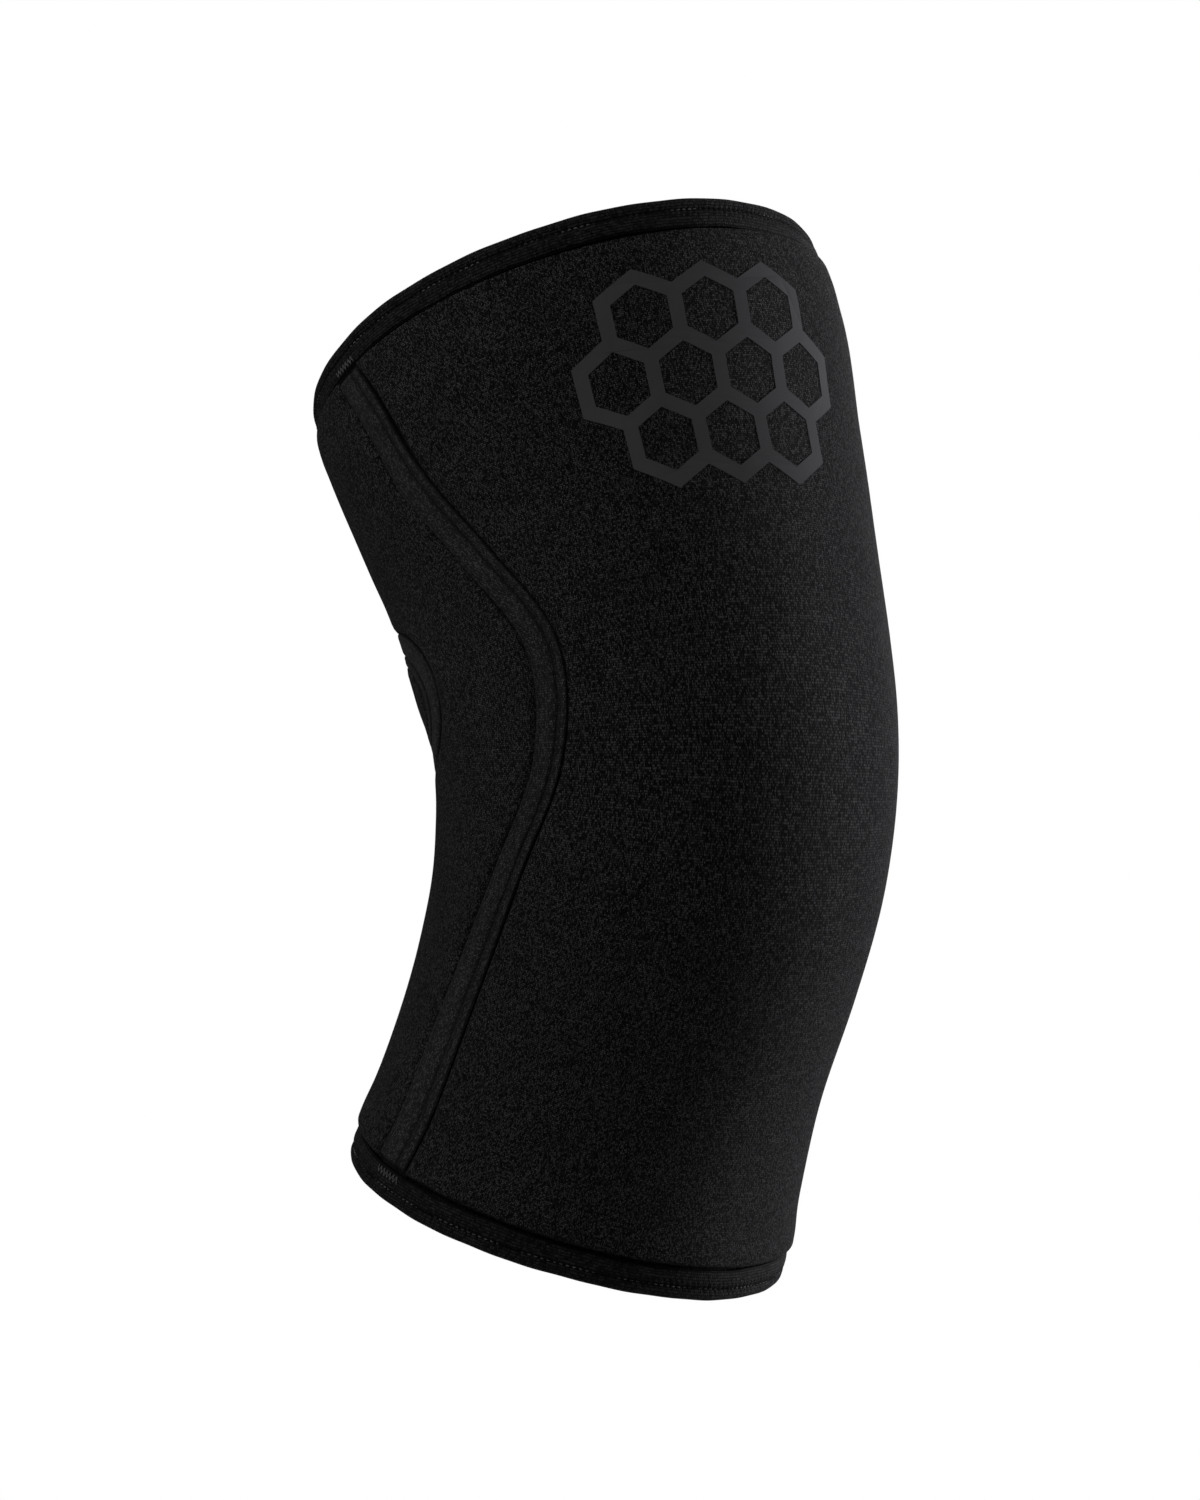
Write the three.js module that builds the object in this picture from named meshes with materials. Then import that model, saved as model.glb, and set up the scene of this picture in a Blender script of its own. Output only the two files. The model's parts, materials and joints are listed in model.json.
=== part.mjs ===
// A pull-on knee sleeve of thick foam rubber with a knitted face, in millimetres, standing as a slightly
// bent knee fills it. +Z is up the leg, -Y is the front of the knee and -X is the outer side, where the
// thigh and the calf both lean a little. The origin is the centre of the knee, inside the hollow.
//
// Every piece is laid on one outer face. A point of that face has a height, measured along the middle line
// of the leg from the bottom rim, and a turn, the angle round the leg from the front, in radians.

import * as THREE from "three";
import { mergeVertices } from "three/addons/utils/BufferGeometryUtils.js";

// Sizes of the whole sleeve
const SLEEVE_LENGTH = 269; // rim to rim along the middle line
const KNEE_HEIGHT = 131; // from the bottom rim to the centre of the knee
const KNEE_BEND = 50; // degrees between the thigh and the calf, seen from the side
const SIDE_BEND = 8; // degrees between them, seen from the front
const KNEE_RADIUS = 64; // the outer face at the knee, which the sections are shares of
const WALL = 7; // thickness of the foam with its two knitted faces

// Seams and the tape sewn over them
const SEAM_GAP = 0.4; // between two panels that meet in a seam
const TAPE_WIDTH = 11; // as it is cut; worn, it is wider on the calf and narrower over the knee
const TAPE_THICKNESS = 1.2;
const TAPE_CLEARANCE = 0.4; // under the tape
const SEAM_DIP = 1.3; // how deep a seam draws the outer face in
const SEAM_DIP_REACH = 10; // from the seam to where the face is full again

// Binding folded over each rim
const BINDING_HEIGHT = 9.5;
const BINDING_THICKNESS = 1.2;
const BINDING_CLEARANCE = 0.3;
const BINDING_DRAW = 1.5; // how far the sewn binding lies below the full face
const RIM_STEP = 1.2; // height over which the squeezed wall swells beside the binding
const RIM_ROUND = 4; // height over which it reaches its full thickness

// Insert in the hollow of the knee
const INSERT_WIDTH = 158; // round the leg
const INSERT_HEIGHT = 73;
const INSERT_RISE = 27; // its centre above the centre of the knee
const INSERT_MARGIN = 17; // of the back panel's net that is bent to the insert's outline

// Print on the front of the thigh, an open honeycomb
const PRINT_THICKNESS = 0.5;
const PRINT_CLEARANCE = 0.5;
const PRINT_DROP = 49; // from the top rim to the print's centre
const PRINT_TURN = 5; // degrees from the front
const PRINT_CELL = 12; // corner radius of a cell
const PRINT_LINE = 4.4;
const PRINT_FLATTEN = 0.88; // height of a cell to its width, against a regular one
const PRINT_ROWS = [3, 4, 3]; // cells in each row

// Longest side of a cell of the nets that the pieces are made of
const CELL_HEIGHT = 9;
const FRONT_CELLS = 17;
const SIDE_CELLS = 2;
const BACK_CELLS = 14;

// Sections of the outer face up the leg. along is a share of SLEEVE_LENGTH. lean is the middle line's
// backward tilt as a share of KNEE_BEND, and aside its tilt to the inner side as a share of SIDE_BEND.
// side, front and back are the half width and the two half depths as shares of KNEE_RADIUS. seam is the
// side seam's place as a share of half a turn from the front, and tape is the worn tape's width round the
// leg as a share of TAPE_WIDTH.
const SECTIONS = [
  { along: 0.0, lean: -0.44, aside: 0.6, side: 1.03, front: 0.99, back: 0.98, seam: 0.5, tape: 1.25 },
  { along: 0.1, lean: -0.46, aside: 0.55, side: 0.97, front: 0.94, back: 0.98, seam: 0.495, tape: 1.25 },
  { along: 0.2, lean: -0.45, aside: 0.45, side: 0.94, front: 0.91, back: 0.99, seam: 0.49, tape: 1.18 },
  { along: 0.3, lean: -0.38, aside: 0.35, side: 0.96, front: 0.95, back: 0.97, seam: 0.46, tape: 1.04 },
  { along: 0.4, lean: -0.25, aside: 0.12, side: 0.99, front: 1.01, back: 0.99, seam: 0.42, tape: 0.9 },
  { along: 0.5, lean: -0.02, aside: 0.0, side: 1.01, front: 1.02, back: 1.05, seam: 0.365, tape: 0.88 },
  { along: 0.6, lean: 0.23, aside: -0.15, side: 1.04, front: 0.95, back: 1.17, seam: 0.352, tape: 0.95 },
  { along: 0.7, lean: 0.37, aside: -0.2, side: 1.07, front: 0.96, back: 1.2, seam: 0.43, tape: 1.06 },
  { along: 0.8, lean: 0.45, aside: -0.4, side: 1.13, front: 1.0, back: 1.25, seam: 0.49, tape: 1.08 },
  { along: 0.9, lean: 0.5, aside: -0.48, side: 1.19, front: 1.1, back: 1.26, seam: 0.512, tape: 1.06 },
  { along: 1.0, lean: 0.51, aside: -0.59, side: 1.19, front: 1.13, back: 1.28, seam: 0.54, tape: 1.06 },
];
const SECTION_COLUMNS = ["lean", "aside", "side", "front", "back", "seam", "tape"];

// Colours and finishes
const FINISHES = {
  knit: { color: 0x1c1c1e, roughness: 0.9, metalness: 0 },
  tape: { color: 0x232325, roughness: 0.8, metalness: 0 },
  binding: { color: 0x151516, roughness: 0.85, metalness: 0 },
  print: { color: 0x3a3a3c, roughness: 0.6, metalness: 0 },
};

// The outer face

const sectionCurve = new THREE.CubicInterpolant(
  SECTIONS.map((row) => row.along),
  SECTIONS.flatMap((row) => SECTION_COLUMNS.map((name) => row[name])),
  SECTION_COLUMNS.length,
);

function sectionAt(height) {
  const share = THREE.MathUtils.clamp(height / SLEEVE_LENGTH, 0, 1);
  const [lean, aside, side, front, back, seam, tape] = sectionCurve.evaluate(share);
  const tilt = new THREE.Euler(
    THREE.MathUtils.degToRad(-lean * KNEE_BEND),
    THREE.MathUtils.degToRad(aside * SIDE_BEND),
    0,
  );
  return {
    upward: new THREE.Vector3(0, 0, 1).applyEuler(tilt),
    forward: new THREE.Vector3(0, -1, 0).applyEuler(tilt),
    sideways: new THREE.Vector3(1, 0, 0).applyEuler(tilt),
    side: side * KNEE_RADIUS,
    front: front * KNEE_RADIUS,
    back: back * KNEE_RADIUS,
    seam: seam * Math.PI,
    tapeReach: (tape * TAPE_WIDTH) / 2,
  };
}

// Middle line of the leg, walked in short steps and set with the knee's centre at the origin.
const MIDDLE_STEPS = 400;
const MIDDLE_STEP = SLEEVE_LENGTH / MIDDLE_STEPS;
const middleLine = [new THREE.Vector3()];
for (let step = 0; step < MIDDLE_STEPS; step++) {
  const { upward } = sectionAt((step + 0.5) * MIDDLE_STEP);
  middleLine.push(middleLine[step].clone().addScaledVector(upward, MIDDLE_STEP));
}

function walkedTo(height) {
  const place = THREE.MathUtils.clamp(height / MIDDLE_STEP, 0, MIDDLE_STEPS);
  const step = Math.min(Math.floor(place), MIDDLE_STEPS - 1);
  return middleLine[step].clone().lerp(middleLine[step + 1], place - step);
}

const kneeCentre = walkedTo(KNEE_HEIGHT);

// A rim's cut is square to the leg, so beyond the table the face runs on in the direction of its end.
function fullFace(height, turn) {
  const { upward, forward, sideways, side, front, back } = sectionAt(height);
  const beyond = height - THREE.MathUtils.clamp(height, 0, SLEEVE_LENGTH);
  const depth = Math.cos(turn) > 0 ? front : back;
  return walkedTo(height)
    .sub(kneeCentre)
    .addScaledVector(upward, beyond)
    .addScaledVector(forward, depth * Math.cos(turn))
    .addScaledVector(sideways, -side * Math.sin(turn));
}

const HEIGHT_PROBE = 2;
const TURN_PROBE = 0.02;

function faceDirections(height, turn) {
  const up = fullFace(height + HEIGHT_PROBE, turn).sub(fullFace(height - HEIGHT_PROBE, turn));
  const round = fullFace(height, turn + TURN_PROBE).sub(fullFace(height, turn - TURN_PROBE));
  return {
    outward: up.clone().cross(round).normalize(),
    millimetresPerRadian: round.length() / (2 * TURN_PROBE),
  };
}

// The point that lies a depth under the full face; a depth below zero lies above it.
function below(height, turn, depth) {
  const { outward } = faceDirections(height, turn);
  return fullFace(height, turn).addScaledVector(outward, -depth);
}

function turnFor(height, turn, millimetres) {
  return millimetres / faceDirections(height, turn).millimetresPerRadian;
}

// The insert's outline is an ellipse on the face, round the middle of the back.
const INSERT_CENTRE = KNEE_HEIGHT + INSERT_RISE;

function insertPoint(across, up, grow = 0) {
  return {
    height: INSERT_CENTRE + up * (INSERT_HEIGHT / 2 + grow),
    turn: Math.PI - (across * (INSERT_WIDTH / 2 + grow)) / KNEE_RADIUS,
  };
}

// Distance from the insert's outline along the face, close to the outline; below zero is inside.
function insertDistance(height, turn) {
  const across = (turn - Math.PI) * KNEE_RADIUS;
  const up = height - INSERT_CENTRE;
  const halfWidth = INSERT_WIDTH / 2;
  const halfHeight = INSERT_HEIGHT / 2;
  const share = Math.max(Math.hypot(across / halfWidth, up / halfHeight), 0.2);
  const slope = Math.hypot(across / halfWidth ** 2, up / halfHeight ** 2) / share;
  return (share - 1) / Math.max(slope, 1 / halfWidth);
}

function seamDistance(height, turn) {
  const { seam } = sectionAt(height);
  const fromFront = Math.min(turn, 2 * Math.PI - turn);
  const { millimetresPerRadian } = faceDirections(height, turn);
  return Math.abs(Math.abs(fromFront) - seam) * millimetresPerRadian;
}

function dipAt(distance) {
  const share = Math.abs(distance) / SEAM_DIP_REACH;
  return SEAM_DIP * (1 - THREE.MathUtils.smoothstep(share, 0.3, 1));
}

// How far a rim's binding squeezes the wall in, from one face.
const BINDING_FOOT = BINDING_HEIGHT + BINDING_CLEARANCE;
const RIM_INSET = BINDING_THICKNESS + BINDING_CLEARANCE;

function rimSqueeze(height, full) {
  const fromRim = Math.min(height, SLEEVE_LENGTH - height);
  if (fromRim <= BINDING_FOOT + 1e-6) return full;
  const swell = (fromRim - BINDING_FOOT) / RIM_STEP;
  if (swell < 1 - 1e-6) return full * (1 - 0.7 * swell);
  const round = (fromRim - BINDING_FOOT - RIM_STEP) / RIM_ROUND;
  return full * 0.3 * (1 - THREE.MathUtils.smoothstep(round, 0, 1));
}

const OUTER_SQUEEZE = BINDING_DRAW + BINDING_THICKNESS + BINDING_CLEARANCE;
const INNER_SQUEEZE = BINDING_THICKNESS + BINDING_CLEARANCE;

function outerDepth(height, turn) {
  const seams = Math.max(dipAt(seamDistance(height, turn)), dipAt(insertDistance(height, turn)));
  return Math.max(seams, rimSqueeze(height, OUTER_SQUEEZE));
}

function wallPoint(height, turn) {
  return {
    outer: below(height, turn, outerDepth(height, turn)),
    inner: below(height, turn, WALL - rimSqueeze(height, INNER_SQUEEZE)),
  };
}

// Solids

function meshOf(name, corners, finish) {
  const soup = new THREE.BufferGeometry().setFromPoints(corners);
  const geometry = mergeVertices(soup, 1e-3);
  const found = [];
  for (let i = 0; i < geometry.index.count; i += 3) {
    const [a, b, c] = [0, 1, 2].map((k) => geometry.index.getX(i + k));
    if (a !== b && b !== c && c !== a) found.push(a, b, c);
  }
  geometry.setIndex(found);
  geometry.computeVertexNormals();
  const mesh = new THREE.Mesh(geometry, new THREE.MeshStandardMaterial(FINISHES[finish]));
  mesh.name = name;
  return mesh;
}

// A wall of cloth from a net of four-cornered cells: an outer and an inner face for each cell, and an edge
// between the two faces wherever a cell has no neighbour.
function wallMesh(name, points, cells, finish) {
  const sides = new Set(cells.flatMap((cell) => cell.map((a, k) => `${a},${cell[(k + 1) % 4]}`)));
  const corners = [];
  const addCell = (a, b, c, d) => corners.push(a, b, c, a, c, d);
  for (const cell of cells) {
    const [a, b, c, d] = cell.map((k) => points[k]);
    addCell(a.outer, b.outer, c.outer, d.outer);
    addCell(d.inner, c.inner, b.inner, a.inner);
    cell.forEach((from, k) => {
      const to = cell[(k + 1) % 4];
      if (sides.has(`${to},${from}`)) return;
      addCell(points[to].outer, points[from].outer, points[from].inner, points[to].inner);
    });
  }
  return meshOf(name, corners, finish);
}

// A strip through rings of points, closed in a loop or capped at its two ends.
function stripMesh(name, rings, closed, finish) {
  const corners = [];
  const count = rings[0].length;
  const last = closed ? rings.length : rings.length - 1;
  for (let i = 0; i < last; i++) {
    const here = rings[i];
    const next = rings[(i + 1) % rings.length];
    for (let k = 0; k < count; k++) {
      const m = (k + 1) % count;
      corners.push(here[k], next[k], next[m], here[k], next[m], here[m]);
    }
  }
  if (!closed) {
    const start = rings[0];
    const end = rings[rings.length - 1];
    for (let k = 1; k < count - 1; k++) {
      corners.push(start[0], start[k], start[k + 1], end[0], end[k + 1], end[k]);
    }
  }
  return meshOf(name, corners, finish);
}

function evenly(from, to, cells) {
  return Array.from({ length: cells + 1 }, (_, i) => THREE.MathUtils.lerp(from, to, i / cells));
}

// Rows of the nets up the leg: the rims' squeezed bands, the stretch round the insert and what is between.

const rimHeights = [
  RIM_INSET,
  (RIM_INSET + BINDING_FOOT) / 2,
  BINDING_FOOT,
  BINDING_FOOT + RIM_STEP,
  BINDING_FOOT + RIM_STEP + RIM_ROUND,
];
const insertLow = INSERT_CENTRE - INSERT_HEIGHT / 2 - INSERT_MARGIN;
const insertHigh = INSERT_CENTRE + INSERT_HEIGHT / 2 + INSERT_MARGIN;
const fullLow = rimHeights[rimHeights.length - 1];
const fullHigh = SLEEVE_LENGTH - fullLow;
const cellsOver = (from, to) => Math.max(1, Math.round((to - from) / CELL_HEIGHT));
const insertCells = 2 * Math.round((insertHigh - insertLow) / CELL_HEIGHT / 2 + 0.5);
const rowHeights = [
  ...rimHeights,
  ...evenly(fullLow, insertLow, cellsOver(fullLow, insertLow)).slice(1),
  ...evenly(insertLow, insertHigh, insertCells).slice(1),
  ...evenly(insertHigh, fullHigh, cellsOver(insertHigh, fullHigh)).slice(1),
  ...rimHeights.toReversed().slice(1).map((height) => SLEEVE_LENGTH - height),
];

// Distances from a seam at which the nets have their lines, so that all pieces bend alike there.
const seamLines = (tapeReach) => [SEAM_GAP / 2, tapeReach, SEAM_DIP_REACH];
const insertLines = seamLines(TAPE_WIDTH / 2);

// Turns of one row's net lines, between the two side seams.
function frontTurns(height) {
  const { seam, tapeReach } = sectionAt(height);
  const lines = seamLines(tapeReach).map((distance) => seam - turnFor(height, seam, distance));
  const inmost = lines[lines.length - 1];
  const middle = evenly(-inmost, inmost, FRONT_CELLS).slice(1, -1);
  return [...lines.map((turn) => -turn), ...middle, ...lines.toReversed()];
}

const BLOCK_SHARE = 0.27; // of the way from the side seam to the middle of the back

function backTurns(height) {
  const { seam, tapeReach } = sectionAt(height);
  const lines = seamLines(tapeReach).map((distance) => seam + turnFor(height, seam, distance));
  const blockEdge = THREE.MathUtils.lerp(seam, Math.PI, BLOCK_SHARE);
  const beside = evenly(lines[lines.length - 1], blockEdge, SIDE_CELLS).slice(1);
  const middle = evenly(blockEdge, 2 * Math.PI - blockEdge, BACK_CELLS).slice(1, -1);
  const near = [...lines, ...beside];
  return [...near, ...middle, ...near.toReversed().map((turn) => 2 * Math.PI - turn)];
}

function frontPanel() {
  const points = [];
  const cells = [];
  const width = frontTurns(0).length;
  rowHeights.forEach((height, row) => {
    frontTurns(height).forEach((turn, column) => {
      points.push(wallPoint(height, turn));
      if (row === 0 || column === 0) return;
      const here = row * width + column;
      cells.push([here - width - 1, here - 1, here, here - width]);
    });
  });
  return wallMesh("front_panel", points, cells, "knit");
}

// A point of the insert, or on its outline, from a square net's place, each way from -1 to 1.
function squareToEllipse(across, up) {
  return {
    across: across * Math.sqrt(1 - up ** 2 / 2),
    up: up * Math.sqrt(1 - across ** 2 / 2),
  };
}

// The cells round the insert's square, counterclockwise seen from behind the leg, from its first corner.
function squareRound() {
  const places = [];
  for (let i = 0; i < insertCells; i++) places.push([0, i]);
  for (let k = 0; k < BACK_CELLS; k++) places.push([k, insertCells]);
  for (let i = insertCells; i > 0; i--) places.push([BACK_CELLS, i]);
  for (let k = BACK_CELLS; k > 0; k--) places.push([k, 0]);
  return places;
}

const squareShare = (column, row) => [1 - (2 * column) / BACK_CELLS, (2 * row) / insertCells - 1];

// The back panel is a plain net with a hole for the insert. Inside the block of cells about the hole, rings
// of points lead from the block's outline to the insert's.
function backPanel() {
  const points = [];
  const cells = [];
  const width = backTurns(0).length;
  const firstColumn = insertLines.length + SIDE_CELLS - 1;
  const firstRow = rowHeights.indexOf(insertLow);
  const inBlock = (row, column) =>
    row >= firstRow &&
    row < firstRow + insertCells &&
    column >= firstColumn &&
    column < firstColumn + BACK_CELLS;
  const net = rowHeights.map((height) => backTurns(height).map((turn) => ({ height, turn })));
  net.flat().forEach(({ height, turn }) => points.push(wallPoint(height, turn)));
  for (let row = 0; row + 1 < rowHeights.length; row++) {
    for (let column = 0; column + 1 < width; column++) {
      if (inBlock(row, column)) continue;
      const here = row * width + column;
      cells.push([here, here + width, here + width + 1, here + 1]);
    }
  }
  const round = squareRound();
  let outerRing = round.map(([k, i]) => (firstRow + i) * width + firstColumn + k);
  for (const distance of insertLines.toReversed()) {
    const ring = round.map(([k, i]) => {
      const block = net[firstRow + i][firstColumn + k];
      const { across, up } = squareToEllipse(...squareShare(k, i));
      const edge = insertPoint(across, up);
      const span = Math.hypot((block.turn - edge.turn) * KNEE_RADIUS, block.height - edge.height);
      const share = Math.min(distance / span, 0.75);
      points.push(
        wallPoint(
          THREE.MathUtils.lerp(edge.height, block.height, share),
          THREE.MathUtils.lerp(edge.turn, block.turn, share),
        ),
      );
      return points.length - 1;
    });
    ring.forEach((inner, n) => {
      const m = (n + 1) % ring.length;
      cells.push([outerRing[n], outerRing[m], ring[m], inner]);
    });
    outerRing = ring;
  }
  return wallMesh("back_panel", points, cells, "knit");
}

function kneeHollowInsert() {
  const points = [];
  const cells = [];
  const width = BACK_CELLS + 1;
  for (let i = 0; i <= insertCells; i++) {
    for (let k = 0; k <= BACK_CELLS; k++) {
      const { across, up } = squareToEllipse(...squareShare(k, i));
      const { height, turn } = insertPoint(across, up, -SEAM_GAP / 2);
      points.push(wallPoint(height, turn));
      if (i === 0 || k === 0) continue;
      const here = i * width + k;
      cells.push([here - width - 1, here - 1, here, here - width]);
    }
  }
  return wallMesh("knee_hollow_insert", points, cells, "knit");
}

// Profile of the tape: two sewn strips with a groove between. across is a share of half its width, towards
// the front of the leg on a side seam, and lift is a share of its thickness.
const TAPE_PROFILE = [
  { across: -1, lift: 0 },
  { across: 0, lift: 0 },
  { across: 1, lift: 0 },
  { across: 0.96, lift: 0.7 },
  { across: 0.62, lift: 1 },
  { across: 0.26, lift: 0.55 },
  { across: -0.4, lift: 1 },
  { across: -0.96, lift: 0.7 },
];

// A ring of the tape's profile on the face. place gives the face's height and turn a distance to one side
// of the seam.
function tapeRing(reach, place) {
  return TAPE_PROFILE.map(({ across, lift }) => {
    const { height, turn } = place(across * reach);
    const rise = TAPE_CLEARANCE + lift * TAPE_THICKNESS;
    return below(height, turn, outerDepth(height, turn) - rise);
  });
}

function sideSeamTape(name, side) {
  const heights = rowHeights.filter(
    (height) => Math.min(height, SLEEVE_LENGTH - height) > BINDING_FOOT + RIM_STEP - 1e-6,
  );
  const rings = heights.map((height) => {
    const { seam, tapeReach } = sectionAt(height);
    return tapeRing(tapeReach, (distance) => ({
      height,
      turn: side * (seam - turnFor(height, seam, distance)),
    }));
  });
  if (side < 0) rings.reverse();
  return stripMesh(name, rings, false, "tape");
}

function hollowSeamTape() {
  const rings = squareRound().map(([k, i]) => {
    const { across, up } = squareToEllipse(...squareShare(k, i));
    const edge = insertPoint(across, up);
    const away = new THREE.Vector2(across / INSERT_WIDTH, up / INSERT_HEIGHT).normalize();
    return tapeRing(TAPE_WIDTH / 2, (distance) => ({
      height: edge.height + away.y * distance,
      turn: edge.turn - (away.x * distance) / KNEE_RADIUS,
    }));
  });
  return stripMesh("hollow_seam_tape", rings, true, "tape");
}

// Profile of a binding: a band folded over the rim. up is a height from the rim and depth is measured from
// the full outer face.
const bindingOuter = BINDING_DRAW;
const bindingInner = WALL;
const BINDING_PROFILE = [
  { up: BINDING_HEIGHT, depth: bindingOuter },
  { up: BINDING_HEIGHT, depth: bindingOuter + BINDING_THICKNESS },
  { up: RIM_INSET - BINDING_CLEARANCE, depth: bindingOuter + BINDING_THICKNESS },
  { up: RIM_INSET - BINDING_CLEARANCE, depth: bindingInner - BINDING_THICKNESS },
  { up: BINDING_HEIGHT, depth: bindingInner - BINDING_THICKNESS },
  { up: BINDING_HEIGHT, depth: bindingInner },
  { up: 2 * BINDING_THICKNESS, depth: bindingInner },
  { up: BINDING_THICKNESS / 2, depth: bindingInner - BINDING_THICKNESS / 2 },
  { up: 0, depth: bindingInner - 1.5 * BINDING_THICKNESS },
  { up: 0, depth: bindingOuter + 1.5 * BINDING_THICKNESS },
  { up: BINDING_THICKNESS / 2, depth: bindingOuter + BINDING_THICKNESS / 2 },
  { up: 2 * BINDING_THICKNESS, depth: bindingOuter },
];

function binding(name, isTop) {
  const rim = isTop ? SLEEVE_LENGTH : 0;
  const step = isTop ? -1 : 1;
  const rimRow = rim + step * RIM_INSET;
  const turns = [...frontTurns(rimRow), ...backTurns(rimRow)];
  const rings = turns.map((turn) =>
    BINDING_PROFILE.map(({ up, depth }) => below(rim + step * up, turn, depth)),
  );
  if (!isTop) rings.reverse();
  return stripMesh(name, rings, true, "binding");
}

// The print: an open honeycomb whose cells share their walls, cut flat and laid round the thigh.

function honeycombCentres() {
  const pitchAcross = PRINT_CELL * Math.sqrt(3);
  const pitchUp = PRINT_CELL * 1.5;
  return PRINT_ROWS.flatMap((count, row) =>
    Array.from(
      { length: count },
      (_, k) =>
        new THREE.Vector2(
          (k - (count - 1) / 2) * pitchAcross,
          (row - (PRINT_ROWS.length - 1) / 2) * pitchUp,
        ),
    ),
  );
}

function hexagon(centre, radius) {
  return Array.from({ length: 6 }, (_, k) => {
    const angle = ((k + 0.5) * Math.PI) / 3;
    return new THREE.Vector2(Math.cos(angle), Math.sin(angle)).multiplyScalar(radius).add(centre);
  });
}

// The outline of all the cells together: the sides that only one cell has, walked in order.
function honeycombOutline(centres) {
  const keyOf = (point) => `${point.x.toFixed(2)},${point.y.toFixed(2)}`.replaceAll("-0.00", "0.00");
  const sides = new Map();
  const onward = new Map();
  for (const centre of centres) {
    const points = hexagon(centre, PRINT_CELL);
    points.forEach((from, k) => sides.set(`${keyOf(from)} ${keyOf(points[(k + 1) % 6])}`, from));
  }
  for (const [key, from] of sides) {
    const [start, end] = key.split(" ");
    if (!sides.has(`${end} ${start}`)) onward.set(start, { from, end });
  }
  const outline = [];
  let key = onward.keys().next().value;
  for (let step = 0; step < onward.size; step++) {
    outline.push(onward.get(key).from);
    key = onward.get(key).end;
  }
  return outline;
}

// The outline moved outwards by half a line, corner by corner.
function grownOutline(outline, distance) {
  return outline.map((point, k) => {
    const before = outline.at(k - 1);
    const after = outline[(k + 1) % outline.length];
    const into = point.clone().sub(before).normalize();
    const out = after.clone().sub(point).normalize();
    const normal = new THREE.Vector2(into.y + out.y, -into.x - out.x).normalize();
    const stretch = normal.dot(new THREE.Vector2(into.y, -into.x));
    return point.clone().addScaledVector(normal, distance / stretch);
  });
}

function withMiddles(points) {
  return points.flatMap((point, k) => [
    point,
    point.clone().lerp(points[(k + 1) % points.length], 0.5),
  ]);
}

function thighPrint() {
  const centres = honeycombCentres();
  const outline = grownOutline(honeycombOutline(centres), PRINT_LINE / 2);
  const shape = new THREE.Shape(withMiddles(outline));
  const holeRadius = PRINT_CELL - PRINT_LINE / Math.sqrt(3);
  shape.holes = centres.map((centre) => new THREE.Path(withMiddles(hexagon(centre, holeRadius))));
  const flat = new THREE.ExtrudeGeometry(shape, { depth: PRINT_THICKNESS, bevelEnabled: false });
  const middleHeight = SLEEVE_LENGTH - PRINT_DROP;
  const middleTurn = THREE.MathUtils.degToRad(PRINT_TURN);
  const corners = [];
  const place = flat.getAttribute("position");
  for (let i = 0; i < place.count; i++) {
    const height = middleHeight + place.getY(i) * PRINT_FLATTEN;
    const turn = middleTurn - turnFor(middleHeight, middleTurn, place.getX(i));
    corners.push(below(height, turn, -PRINT_CLEARANCE - place.getZ(i)));
  }
  return meshOf("thigh_print", corners, "print");
}

const sleeve = new THREE.Group();
sleeve.name = "knee_sleeve";
sleeve.add(
  frontPanel(),
  backPanel(),
  kneeHollowInsert(),
  sideSeamTape("side_seam_tape_left", 1),
  sideSeamTape("side_seam_tape_right", -1),
  hollowSeamTape(),
  binding("top_binding", true),
  binding("bottom_binding", false),
  thighPrint(),
);

export default sleeve;
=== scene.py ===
# %% [markdown]
# # A knee sleeve, sewn and worn
#
# The real thing is a black sleeve of thick foam rubber with a knitted face. Two panels meet in two side
# seams, an oval insert sits behind the knee, tapes are sewn over every seam, and a folded band binds each
# rim. This lesson dresses the plain solids with cloth, thread and print.
#
# Every soft piece here is thought of as flat first, the way it is cut, and is then worn: one function
# takes a height up the leg, an angle round it and a rise above the face, and gives the place in space.

# %% Load the frame
import json
import math

import bpy
import numpy as np
from mathutils import Matrix, Vector, noise

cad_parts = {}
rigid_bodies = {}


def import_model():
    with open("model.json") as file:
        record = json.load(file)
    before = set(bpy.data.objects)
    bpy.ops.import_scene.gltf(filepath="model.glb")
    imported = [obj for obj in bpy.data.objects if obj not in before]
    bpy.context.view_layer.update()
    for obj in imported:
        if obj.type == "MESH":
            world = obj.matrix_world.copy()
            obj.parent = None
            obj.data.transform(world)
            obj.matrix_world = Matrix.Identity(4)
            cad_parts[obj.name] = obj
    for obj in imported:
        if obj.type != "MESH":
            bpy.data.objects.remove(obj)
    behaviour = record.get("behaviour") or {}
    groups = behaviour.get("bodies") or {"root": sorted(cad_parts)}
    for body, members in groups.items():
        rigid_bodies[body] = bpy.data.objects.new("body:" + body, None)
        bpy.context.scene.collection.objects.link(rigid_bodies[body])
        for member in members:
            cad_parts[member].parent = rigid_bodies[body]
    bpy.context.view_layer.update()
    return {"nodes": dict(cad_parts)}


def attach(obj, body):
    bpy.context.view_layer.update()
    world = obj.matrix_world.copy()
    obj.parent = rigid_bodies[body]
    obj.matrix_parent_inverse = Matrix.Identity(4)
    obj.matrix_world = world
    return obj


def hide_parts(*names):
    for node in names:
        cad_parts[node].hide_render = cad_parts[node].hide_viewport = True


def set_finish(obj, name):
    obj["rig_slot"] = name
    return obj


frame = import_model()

MILLIMETRE = 0.001
print("solids:", sorted(frame["nodes"]))
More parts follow.
